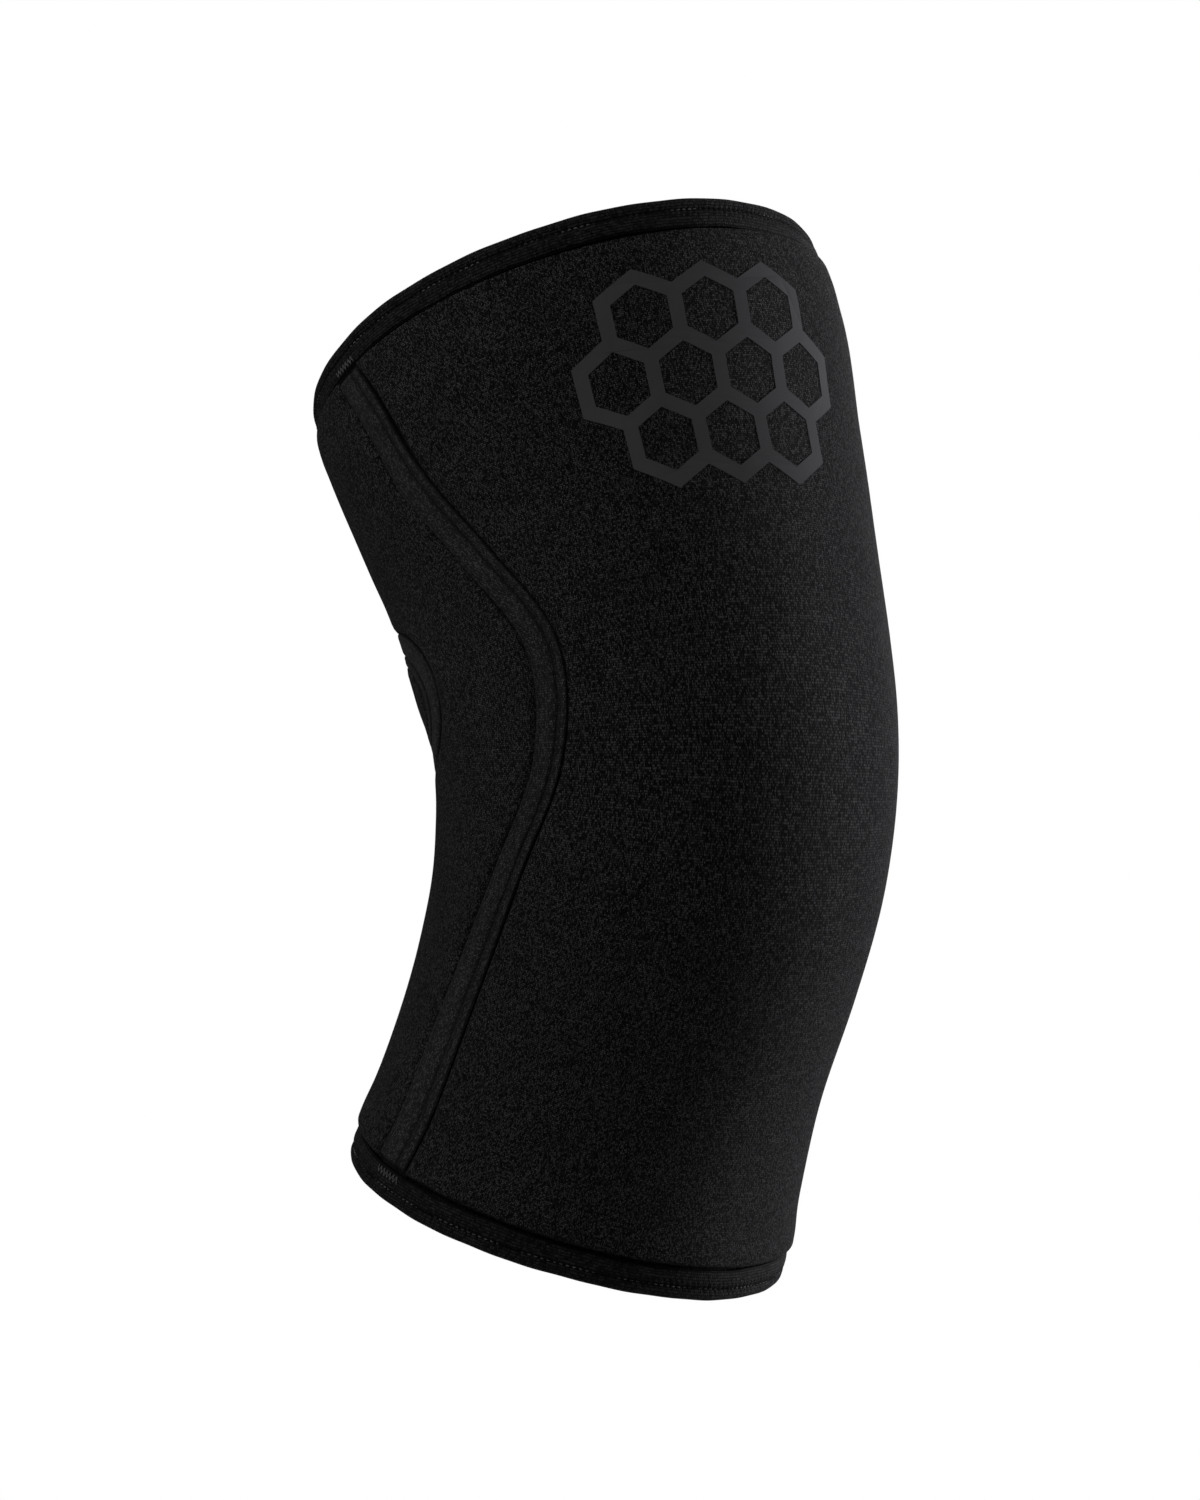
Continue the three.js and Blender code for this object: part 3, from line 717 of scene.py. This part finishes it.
# %% Fold of a binding
BINDING_HEIGHT = 9.5
BINDING_DEPTH = 1.5
WALL = 7
BINDING_THICKNESS = 1.0
fold_radius = (WALL - BINDING_DEPTH) / 2
leg_length = BINDING_HEIGHT - fold_radius
arc_length = math.pi * fold_radius
band_width = 2 * leg_length + arc_length
BINDING_ACROSS = 40
PARTS_PER_STITCH = 4
BINDING_PITCH = 1.9
STITCH_UP = 4.1
BINDING_ROLL = 0.75
BINDING_SINK = 0.55
BINDING_PUCKER = 0.2
PUCKER_SLANT = 0.55
PUCKER_BELOW = 2.6
PUCKER_ABOVE = 1.5
# Width of the painted shade along the needle line, and where it starts and is full at the band's edge.
NEEDLE_SHADE_WIDTH = 0.5
LOWER_EDGE_SHADE_FROM = 8.6
LOWER_EDGE_SHADE_TO = 9.4
WANDER_FROM = 4
WANDER_IN_LIFT = 0.6
RING_POINTS = 181
BAND_WAVES = ((0.16, 5, 1), (0.12, 13, 2), (0.07, 29, 0))
stitch_along = BINDING_HEIGHT - STITCH_UP


def fold_path(along, lift):
    """Distance from the rim and depth for a place along the fold, lifted off it by some millimetres."""
    angle = np.clip((along - leg_length) / fold_radius, 0, math.pi)
    inner = np.maximum(along - leg_length - arc_length, 0)
    outer = np.minimum(along, leg_length)
    up = BINDING_HEIGHT - outer - fold_radius * np.sin(angle) + inner
    up = np.where(along > leg_length, fold_radius - fold_radius * np.sin(angle) + inner, up)
    depth = BINDING_DEPTH + fold_radius * (1 - np.cos(angle))
    return up - lift * np.sin(angle), depth - lift * np.cos(angle)


def binding_lift(along, y):
    """Rolls on each side of the stitches, a lowered edge, and slanted puckers at the needle line."""
    inner_stitch = band_width - stitch_along
    lower = roll(along, -ROLL_PAST_EDGE, stitch_along)
    upper = roll(along, stitch_along, inner_stitch)
    inside = roll(along, inner_stitch, band_width + ROLL_PAST_EDGE)
    from_line = along - stitch_along
    near = near_line(from_line, np.where(from_line < 0, PUCKER_BELOW, PUCKER_ABOVE))
    slanted = y + PUCKER_SLANT * from_line
    pucker = np.cos(2 * math.pi * slanted / BINDING_PITCH) * BINDING_PUCKER * near
    return -BINDING_SINK + BINDING_ROLL * (lower + upper + inside) + pucker


def binding_wander(y, length, seed):
    """A slow unevenness along the rim, closed round it: waves by size, count and shift."""
    angle = 2 * math.pi * y / length
    return sum(size * np.sin(count * angle + shift * seed) for size, count, shift in BAND_WAVES)


def slow_waves(y, length, is_top):
    """The band's rise and fall, and its wandering up and down the leg. Each rim has its own."""
    rise_seed, wander_seed = (1, 3) if is_top else (2, 4)
    rising = WANDER_IN_LIFT * binding_wander(y, length, rise_seed)
    return rising, binding_wander(y, length, wander_seed)


def rim_of(is_top):
    """The rim's height, and the step along the leg that goes inwards from it."""
    return (SLEEVE_LENGTH, -1) if is_top else (0, 1)


def bind(name, is_top):
    rim, inward = rim_of(is_top)
    ring_turns = np.linspace(0, 2 * math.pi, RING_POINTS)
    ring = worn(np.full(RING_POINTS, float(rim)), ring_turns, 0.0) / MILLIMETRE
    length = float(np.linalg.norm(np.diff(ring, axis=0), axis=1).sum())
    stitches = round(length / BINDING_PITCH)
    length = stitches * BINDING_PITCH
    parts_along = stitches * PARTS_PER_STITCH
    piece = flat_strip(name, band_width, length, BINDING_ACROSS, parts_along, BINDING_THICKNESS)
    x, y, z = (corners_of(piece) / MILLIMETRE).T
    along = x + band_width / 2
    rising, wander = slow_waves(y, length, is_top)
    up, depth = fold_path(along, binding_lift(along, y) + z + rising)
    up_the_leg = up + wander * smoothstep(up, WANDER_FROM, BINDING_HEIGHT)
    set_corners(piece, worn(rim + inward * up_the_leg, 2 * math.pi * y / length, -depth))
    # Painted shade in the groove of the needle line and at the band's edge where it meets the knit.
    needle_line_shade = near_line(along - stitch_along, NEEDLE_SHADE_WIDTH)
    set_painted_shade(piece, needle_line_shade + smoothstep(up, LOWER_EDGE_SHADE_FROM, LOWER_EDGE_SHADE_TO))
    close_strip(piece, length)
    smooth(piece)
    return piece, length


bindings = {}
for binding_name, node, is_top in (
    ("top_rim_binding", "top_binding", True),
    ("bottom_rim_binding", "bottom_binding", False),
):
    piece, length = bind(binding_name, is_top)
    bindings[binding_name] = (piece, length, is_top)
    finished(piece, "edge_binding", node)
    print("length of the band:", round(length, 1), "mm")

# %% [markdown]
# ## Thread
#
# Stitches are tiny and there are many, so one is modelled well and then repeated. A low ball is stretched
# to a bead with pressed ends. Each copy is set down in the leg's coordinates with its own direction, so
# it bends with the cloth, and all copies of one kind are one mesh.

# %% One stitch
BEAD_SEGMENTS = 6
BEAD_RINGS = 5
END_PRESS = 0.9
bpy.ops.object.select_all(action="DESELECT")
bpy.ops.mesh.primitive_uv_sphere_add(segments=BEAD_SEGMENTS, ring_count=BEAD_RINGS, radius=0.5)
pattern = bpy.context.active_object
bpy.ops.object.mode_set(mode="EDIT")
bpy.ops.mesh.select_all(action="SELECT")
bpy.ops.transform.rotate(value=math.pi / 2, orient_axis="Y", center_override=(0, 0, 0))
bpy.ops.object.mode_set(mode="OBJECT")
stitch_corners = corners_of(pattern)
stitch_faces = [list(face.vertices) for face in pattern.data.polygons]
bpy.data.objects.remove(pattern)
stitch_corners[:, 2] -= END_PRESS * np.abs(stitch_corners[:, 0]) ** 2
print("one stitch has", len(stitch_faces), "faces")


# %% Repeat the stitch
FLAT_STEP = 3.0


def sew(name, height, turn, rise, direction, length, thickness):
    """One mesh of stitches. direction is the angle from round the leg to up the leg."""
    height, turn, rise, direction, length = np.broadcast_arrays(height, turn, rise, direction, length)
    x = stitch_corners[None, :, 0] * length[:, None]
    y = stitch_corners[None, :, 1] * thickness
    z = stitch_corners[None, :, 2] * thickness
    around = x * np.cos(direction)[:, None] - y * np.sin(direction)[:, None]
    up = x * np.sin(direction)[:, None] + y * np.cos(direction)[:, None]
    _, per_radian = face_directions(height, turn)
    points = worn(
        height[:, None] + up, turn[:, None] + around / per_radian[:, None], rise[:, None] + z
    ).reshape(-1, 3)
    count = len(stitch_corners)
    faces = [[k + n * count for k in face] for n in range(len(height)) for face in stitch_faces]
    mesh = bpy.data.meshes.new(name)
    mesh.from_pydata(points.tolist(), [], faces)
    piece = bpy.data.objects.new(name, mesh)
    scene.collection.objects.link(piece)
    only(piece)
    bpy.ops.object.mode_set(mode="EDIT")
    bpy.ops.mesh.select_all(action="SELECT")
    bpy.ops.mesh.normals_make_consistent(inside=False)
    bpy.ops.object.mode_set(mode="OBJECT")
    bpy.ops.object.shade_smooth()
    along = np.repeat(np.arange(len(height)) * FLAT_STEP, count) + x.reshape(-1)
    set_flat_map(piece, np.stack([along, np.tile(y[0], len(height))], axis=1))
    return piece


# %% Stitches of the bindings
THREAD_LOW = 0.1
THREAD_HIGH = 0.52
THIGH_THREAD_SINK = 0.1
THREAD_LEAN = 0.12
SLOW_SHOWING = 8
QUICK_SHOWING = 21
BINDING_STITCH_LENGTH = 1.2
BINDING_STITCH_THICKNESS = 0.56


def turned_about(count, angle):
    """One angle for each stitch, every second one the other way."""
    return angle * np.where(np.arange(count) % 2, 1, -1)


def binding_stitches(name, length, is_top, inside):
    """A row of stitches that comes up and sinks into the band in stretches along the rim."""
    rim, inward = rim_of(is_top)
    count = round(length / BINDING_PITCH)
    y = np.arange(count) * BINDING_PITCH
    turn = 2 * math.pi * y / length
    along = np.full(count, band_width - stitch_along if inside else stitch_along)
    rising, wander = slow_waves(y, length, is_top)
    shown = 0.5 + 0.5 * np.sin(SLOW_SHOWING * turn + 1) * np.sin(QUICK_SHOWING * turn)
    thread_rise = THREAD_LOW + (THREAD_HIGH - THREAD_LOW) * shown - THIGH_THREAD_SINK * is_top
    up, depth = fold_path(along, binding_lift(along, y + BINDING_PITCH / 2) + rising + thread_rise)
    up_the_leg = up + wander * smoothstep(up, WANDER_FROM, BINDING_HEIGHT)
    return sew(
        name, rim + inward * up_the_leg, turn, -depth, turned_about(count, THREAD_LEAN),
        BINDING_STITCH_LENGTH, BINDING_STITCH_THICKNESS,
    )


for binding_name, (piece, length, is_top) in bindings.items():
    stem = binding_name.replace("_binding", "")
    for place, inside in (("outer", False), ("inner", True)):
        thread = binding_stitches(f"{stem}_{place}_stitches", length, is_top, inside)
        finished(thread, "edge_binding")

# %% Stitches of the tapes
NEEDLE_LINES = (-4.95, TAPE_GROOVE, 4.95)
TAPE_THREAD_RISE = 0.04
TAPE_STITCH_LENGTH = 1.9
TAPE_STITCH_THICKNESS = 0.3
AHEAD = 0.5


def tape_stitches(name, place, length):
    y = np.arange(STITCH_PITCH, length - STITCH_PITCH, STITCH_PITCH)
    heights, turns, rises, directions = [], [], [], []
    for x in NEEDLE_LINES:
        across = np.full(len(y), x)
        height, turn, sunk = place(across, y)
        ahead_height, ahead_turn, _ = place(across, y + AHEAD)
        _, per_radian = face_directions(height, turn)
        heights.append(height)
        turns.append(turn)
        rises.append(tape_rise(across, y + STITCH_PITCH / 2) + TAPE_THREAD_RISE - sunk)
        directions.append(np.arctan2(ahead_height - height, (ahead_turn - turn) * per_radian))
    joined = map(np.concatenate, (heights, turns, rises, directions))
    return sew(name, *joined, TAPE_STITCH_LENGTH, TAPE_STITCH_THICKNESS)


for name, place, length in (
    ("near_tape_stitches", side_seam(1), tape_length),
    ("far_tape_stitches", side_seam(-1), tape_length),
    ("hollow_tape_stitches", round_insert, oval_length),
):
    finished(tape_stitches(name, place, length), "seam_tape")

# %% [markdown]
# Where a tape runs under a binding, a dense zigzag locks it: the bar tack that shows as a row of pale
# slanting threads on the binding. Every second stitch leans the other way.

# %% Bar tacks
TACK_STITCHES = 13
TACK_SPACING = 0.82
TACK_UP = 7.8
TACK_LENGTH = 2.7
TACK_THICKNESS = 0.32
TACK_SLANT = 0.42
TACK_RISE = 0.35


def bar_tack(side, is_top):
    rim, inward = rim_of(is_top)
    height = np.full(TACK_STITCHES, rim + inward * TACK_UP)
    seam = section_at(height)["seam"]
    _, per_radian = face_directions(height, seam)
    step = (np.arange(TACK_STITCHES) - (TACK_STITCHES - 1) / 2) * TACK_SPACING
    turn = side * (seam - step / per_radian)
    return height, turn, math.pi / 2 + turned_about(TACK_STITCHES, TACK_SLANT)


tacks = [bar_tack(side, is_top) for side in (1, -1) for is_top in (True, False)]
tack_height, tack_turn, tack_direction = map(np.concatenate, zip(*tacks))
bar_tacks = sew(
    "bar_tacks", tack_height, tack_turn, TACK_RISE - BINDING_DEPTH, tack_direction,
    TACK_LENGTH, TACK_THICKNESS,
)
finished(bar_tacks, "edge_binding")

# %% [markdown]
# ## Print
#
# The print is a film that heat presses onto the knit, so it has almost no thickness and follows the face.
# The outer faces of its solid are kept, subdivided, laid on the panel's real face and given a thin wall
# that starts just under the knit.

# %% Print film
PRINT_RISE = 0.16
PRINT_FILM = 0.3
OUTER_FACE_FROM = 0.95
PRINT_CUTS = 2
film = cloth_copy("thigh_print", "thigh_print_film")
_, _, rise = leg_place(corners_of(film))
for face in film.data.polygons:
    lifted = np.mean([rise[k] for k in face.vertices])
    face.select = bool(lifted < OUTER_FACE_FROM)
only(film)
bpy.ops.object.mode_set(mode="EDIT")
bpy.ops.mesh.select_mode(type="FACE")
bpy.ops.mesh.delete(type="FACE")
bpy.ops.mesh.select_all(action="SELECT")
bpy.ops.mesh.subdivide(number_cuts=PRINT_CUTS)
bpy.ops.object.mode_set(mode="OBJECT")
film_points = corners_of(film)
height, turn, _ = leg_place(film_points)
film_waves = unevenness(film_points)
set_corners(film, worn(height, turn, -face_depth(height, turn) + film_waves + PRINT_RISE))
set_flat_map(film, np.stack([turn * KNEE_RADIUS, height], axis=1))
apply_modifier(film, "SOLIDIFY", thickness=PRINT_FILM * MILLIMETRE, offset=-1)
smooth(film)
finished(film, "print_film", "thigh_print")

# %% [markdown]
# ## Finishes
#
# All the finishes are nearly black, so what tells them apart is their grain and their gloss. Three
# effects are shared, and each is a node group: the loops of a knit, on the foam, the tapes and the film,
# the fine ribs of a woven band, on the bindings and the thread, and slow clouds and painted shade in seams,
# on all.
# The two patterns read the flat map in millimetres, so they are as large on the model as on the cloth.
# They give a height for the bump and a fleck for the colour.

# %% Node helpers
def feed(tree, socket, value):
    """Gives a socket a plain value, or links it to another node's output."""
    if isinstance(value, bpy.types.NodeSocket):
        tree.links.new(value, socket)
    else:
        socket.default_value = value


def add_math(tree, operation, *values):
    node = tree.nodes.new("ShaderNodeMath")
    node.operation = operation
    for socket, value in zip(node.inputs, values):
        feed(tree, socket, value)
    return node.outputs[0]


def new_group(name, numbers, outputs):
    tree = bpy.data.node_groups.new(name, "ShaderNodeTree")
    for label, value in numbers.items():
        socket = tree.interface.new_socket(label, in_out="INPUT", socket_type="NodeSocketFloat")
        socket.default_value = value
    for label in outputs:
        tree.interface.new_socket(label, in_out="OUTPUT", socket_type="NodeSocketFloat")
    return tree, tree.nodes.new("NodeGroupInput").outputs, tree.nodes.new("NodeGroupOutput").inputs


def flat_place(tree):
    place = tree.nodes.new("ShaderNodeUVMap")
    place.uv_map = "flat"
    return place.outputs[0]


def add_noise(tree, place, scale, detail):
    noise_node = tree.nodes.new("ShaderNodeTexNoise")
    feed(tree, noise_node.inputs["Vector"], place)
    feed(tree, noise_node.inputs["Scale"], scale)
    feed(tree, noise_node.inputs["Detail"], detail)
    return noise_node.outputs


def add_vector(tree, operation):
    node = tree.nodes.new("ShaderNodeVectorMath")
    node.operation = operation
    return node


def chance_at(tree, column, row):
    """A number from 0 to 1 that stays the same all over one loop or one crossing."""
    address = tree.nodes.new("ShaderNodeCombineXYZ")
    tree.links.new(column, address.inputs[0])
    tree.links.new(row, address.inputs[1])
    chance = tree.nodes.new("ShaderNodeTexWhiteNoise")
    chance.noise_dimensions = "3D"
    tree.links.new(address.outputs[0], chance.inputs["Vector"])
    return chance.outputs["Value"]


# %% Knit loops
KNIT_DRIFT_SCALE = 0.8
KNIT_DRIFT_DETAIL = 2
LOOP_CHANCE = 0.7
LOOP_SURE = 0.3
FLECK_POWER = 2.2
knit, knit_in, knit_out = new_group(
    "knit_loops", {"Loop Width": 1.05, "Loop Height": 0.85, "Unevenness": 0.35}, ["Height", "Fleck"]
)
flat = flat_place(knit)
drift = add_noise(knit, flat, KNIT_DRIFT_SCALE, KNIT_DRIFT_DETAIL)
centred = add_vector(knit, "SUBTRACT")
knit.links.new(drift["Color"], centred.inputs[0])
centred.inputs[1].default_value = (0.5, 0.5, 0.5)
scaled = add_vector(knit, "SCALE")
knit.links.new(centred.outputs[0], scaled.inputs[0])
knit.links.new(knit_in["Unevenness"], scaled.inputs["Scale"])
moved = add_vector(knit, "ADD")
knit.links.new(flat, moved.inputs[0])
knit.links.new(scaled.outputs[0], moved.inputs[1])
parts = knit.nodes.new("ShaderNodeSeparateXYZ")
knit.links.new(moved.outputs[0], parts.inputs[0])
column = add_math(knit, "DIVIDE", parts.outputs["X"], knit_in["Loop Width"])
column_index = add_math(knit, "FLOOR", column)
in_column = add_math(knit, "FRACT", column)
from_middle = add_math(knit, "ABSOLUTE", add_math(knit, "SUBTRACT", in_column, 0.5))
level = add_math(knit, "DIVIDE", parts.outputs["Y"], knit_in["Loop Height"])
slanted = add_math(knit, "ADD", level, from_middle)
row_index = add_math(knit, "FLOOR", slanted)
in_row = add_math(knit, "FRACT", slanted)
leg_bow = add_math(knit, "SINE", add_math(knit, "MULTIPLY", in_row, math.pi))
leg_width = add_math(knit, "SINE", add_math(knit, "MULTIPLY", from_middle, 2 * math.pi))
loop = add_math(knit, "MULTIPLY", leg_bow, leg_width)
which_leg = add_math(knit, "ROUND", in_column)
leg_index = add_math(knit, "ADD", add_math(knit, "MULTIPLY", column_index, 2), which_leg)
chance = chance_at(knit, leg_index, row_index)
loop_size = add_math(knit, "ADD", add_math(knit, "MULTIPLY", chance, LOOP_CHANCE), LOOP_SURE)
knit.links.new(add_math(knit, "MULTIPLY", loop, loop_size), knit_out["Height"])
rare_chance = add_math(knit, "POWER", chance, FLECK_POWER)
knit.links.new(add_math(knit, "MULTIPLY", loop, rare_chance), knit_out["Fleck"])

# %% Woven ribs
RIB_DRIFT_SCALE = 0.9
RIB_DRIFT_DETAIL = 3
CROSS_SHARE = 0.6
ribs, ribs_in, ribs_out = new_group(
    "woven_ribs", {"Rib Pitch": 0.6, "Cross Pitch": 0.9, "Unevenness": 0.25}, ["Height", "Fleck"]
)
flat = flat_place(ribs)
parts = ribs.nodes.new("ShaderNodeSeparateXYZ")
ribs.links.new(flat, parts.inputs[0])
drift = add_noise(ribs, flat, RIB_DRIFT_SCALE, RIB_DRIFT_DETAIL)
centred_drift = add_math(ribs, "SUBTRACT", drift["Fac"], 0.5)
wobble = add_math(ribs, "MULTIPLY", centred_drift, ribs_in["Unevenness"])


def ribs_along(axis, pitch):
    """The number of each rib along one axis, and its rounded top."""
    place = add_math(ribs, "DIVIDE", add_math(ribs, "ADD", parts.outputs[axis], wobble), ribs_in[pitch])
    bow = add_math(ribs, "SINE", add_math(ribs, "MULTIPLY", add_math(ribs, "FRACT", place), math.pi))
    return add_math(ribs, "FLOOR", place), bow


rib_index, rib_bow = ribs_along("X", "Rib Pitch")
cross_index, cross_bow = ribs_along("Y", "Cross Pitch")
chance = chance_at(ribs, rib_index, cross_index)
cross_part = add_math(ribs, "ADD", add_math(ribs, "MULTIPLY", cross_bow, CROSS_SHARE), 1 - CROSS_SHARE)
weave = add_math(ribs, "MULTIPLY", rib_bow, cross_part)
ribs.links.new(weave, ribs_out["Height"])
ribs.links.new(add_math(ribs, "MULTIPLY", weave, chance), ribs_out["Fleck"])

# %% Clouds and painted shade
mottle_and_shade, mottle_and_shade_in, mottle_and_shade_out = new_group(
    "clouds_and_painted_shade", {"Cloud Scale": 90, "Cloud Detail": 3, "Mottle": 0.25, "Painted Shade": 0.88},
    ["Clouds", "Shade"],
)
object_place = mottle_and_shade.nodes.new("ShaderNodeTexCoord").outputs["Object"]
clouds = add_noise(mottle_and_shade, object_place, mottle_and_shade_in["Cloud Scale"], mottle_and_shade_in["Cloud Detail"])["Fac"]
# Painted shade: the attribute made by the cloth pieces darkens the colour in seams, grooves and under the
# bindings.
painted_shade = mottle_and_shade.nodes.new("ShaderNodeAttribute")
painted_shade.attribute_name = "painted_shade"
cloud_part = add_math(mottle_and_shade, "MULTIPLY", clouds, add_math(mottle_and_shade, "MULTIPLY", mottle_and_shade_in["Mottle"], 2))
mottled = add_math(mottle_and_shade, "ADD", cloud_part, add_math(mottle_and_shade, "SUBTRACT", 1, mottle_and_shade_in["Mottle"]))
painted_shade_part = add_math(mottle_and_shade, "MULTIPLY", painted_shade.outputs["Fac"], mottle_and_shade_in["Painted Shade"])
after_painted_shade = add_math(mottle_and_shade, "SUBTRACT", 1, painted_shade_part)
mottle_and_shade.links.new(clouds, mottle_and_shade_out["Clouds"])
mottle_and_shade.links.new(add_math(mottle_and_shade, "MULTIPLY", mottled, after_painted_shade), mottle_and_shade_out["Shade"])
print("node groups:", [group.name for group in bpy.data.node_groups])


# %% [markdown]
# A cloth finish puts two of those groups into a Principled shader. The fleck mixes a darker and a lighter
# black, the clouds vary it over the piece, and painted shade darkens what lies deep in a seam or groove.
# Sheen gives the soft light rim that fuzzy black cloth has.

# %% Cloth finishes
RELIEF_DEPTH = 0.0003
FLECK_GLOSS = -0.15
SHEEN_ROUGHNESS = 0.45
SHEEN_TINT = (0.75, 0.77, 0.85, 1)


def place_group(tree, group, **values):
    node = tree.nodes.new("ShaderNodeGroup")
    node.node_tree = group
    for name, value in values.items():
        node.inputs[name.replace("_", " ").title()].default_value = value
    return node.outputs


def start_finish(name, group, sizes, bump, specular):
    """A material with one of the two patterns, and the pattern's relief already on its surface."""
    finish = bpy.data.materials.new(name)
    finish.use_nodes = True
    tree = finish.node_tree
    shader = tree.nodes["Principled BSDF"]
    shader.inputs["Specular IOR Level"].default_value = specular
    grain = place_group(tree, group, **sizes)
    relief = tree.nodes.new("ShaderNodeBump")
    relief.inputs["Strength"].default_value = bump
    relief.inputs["Distance"].default_value = RELIEF_DEPTH
    tree.links.new(grain["Height"], relief.inputs["Height"])
    tree.links.new(relief.outputs[0], shader.inputs["Normal"])
    return finish, tree, shader, grain["Fleck"]


def two_tones(tree, factor, dark, light):
    colour = tree.nodes.new("ShaderNodeMix")
    colour.data_type = "RGBA"
    colour.inputs["A"].default_value = (*dark, 1)
    colour.inputs["B"].default_value = (*light, 1)
    tree.links.new(factor, colour.inputs["Factor"])
    return colour.outputs["Result"]


def cloth_finish(name, group, sizes, dark, light, roughness, sheen, bump, specular, mottle=0.25):
    finish, tree, shader, fleck = start_finish(name, group, sizes, bump, specular)
    shade = add_vector(tree, "SCALE")
    tree.links.new(two_tones(tree, fleck, dark, light), shade.inputs[0])
    # The Shade output brings the random clouds and the painted shade of seams and grooves.
    tree.links.new(place_group(tree, mottle_and_shade, mottle=mottle)["Shade"], shade.inputs["Scale"])
    tree.links.new(shade.outputs[0], shader.inputs["Base Color"])
    rough = add_math(tree, "ADD", add_math(tree, "MULTIPLY", fleck, FLECK_GLOSS), roughness)
    tree.links.new(rough, shader.inputs["Roughness"])
    shader.inputs["Sheen Weight"].default_value = sheen
    shader.inputs["Sheen Roughness"].default_value = SHEEN_ROUGHNESS
    shader.inputs["Sheen Tint"].default_value = SHEEN_TINT
    return finish


def grey(value):
    return (value, value, value)


FINISHES = {
    "knit_neoprene": cloth_finish(
        "black_knit", knit, dict(loop_width=0.66, loop_height=0.52, unevenness=0.34),
        grey(0.001), grey(0.086), roughness=0.85, sheen=0.003, bump=0.9, specular=0.05,
    ),
    "seam_tape": cloth_finish(
        "stretch_tape", knit, dict(loop_width=0.7, loop_height=0.6, unevenness=0.5),
        grey(0.004), grey(0.07), roughness=0.75, sheen=0.005, bump=0.7, specular=0.08,
    ),
    "edge_binding": cloth_finish(
        "rim_binding", ribs, dict(rib_pitch=0.9, cross_pitch=0.7, unevenness=1.1),
        grey(0.001), grey(0.018), roughness=0.8, sheen=0.003, bump=0.9, specular=0.06,
    ),
}
print("finishes:", list(FINISHES))

# %% Film and thread finishes
FILM_DARK = (0.028, 0.028, 0.0288)
FILM_LIGHT = (0.037, 0.037, 0.038)
FILM_CLOUD_SCALE = 160
FILM_CLOUD_DETAIL = 4
FILM_ROUGHNESS = 0.66
FILM_ROUGHNESS_RANGE = 0.12
film_finish, tree, shader, _ = start_finish("charcoal_film", knit, {}, bump=0.08, specular=0.08)
clouds = place_group(
    tree, mottle_and_shade, cloud_scale=FILM_CLOUD_SCALE, cloud_detail=FILM_CLOUD_DETAIL
)["Clouds"]
tree.links.new(two_tones(tree, clouds, FILM_DARK, FILM_LIGHT), shader.inputs["Base Color"])
film_rough = add_math(tree, "ADD", add_math(tree, "MULTIPLY", clouds, FILM_ROUGHNESS_RANGE), FILM_ROUGHNESS)
tree.links.new(film_rough, shader.inputs["Roughness"])
FINISHES["print_film"] = film_finish

thread_finish = cloth_finish(
    "black_thread", ribs, dict(rib_pitch=0.3, cross_pitch=0.5, unevenness=0.1),
    grey(0.025), grey(0.15), roughness=0.55, sheen=0.0, bump=0.4, mottle=0.1, specular=0.2,
)

# %% Hand out the finishes
dressed = [piece for piece in scene.objects if "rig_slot" in piece.keys()]
for piece in dressed:
    is_thread = "rim" in piece.name and "stitches" in piece.name or "tacks" in piece.name
    piece.data.materials.clear()
    piece.data.materials.append(thread_finish if is_thread else FINISHES[piece["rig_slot"]])
print("triangles:", sum(len(face.vertices) - 2 for piece in dressed for face in piece.data.polygons))
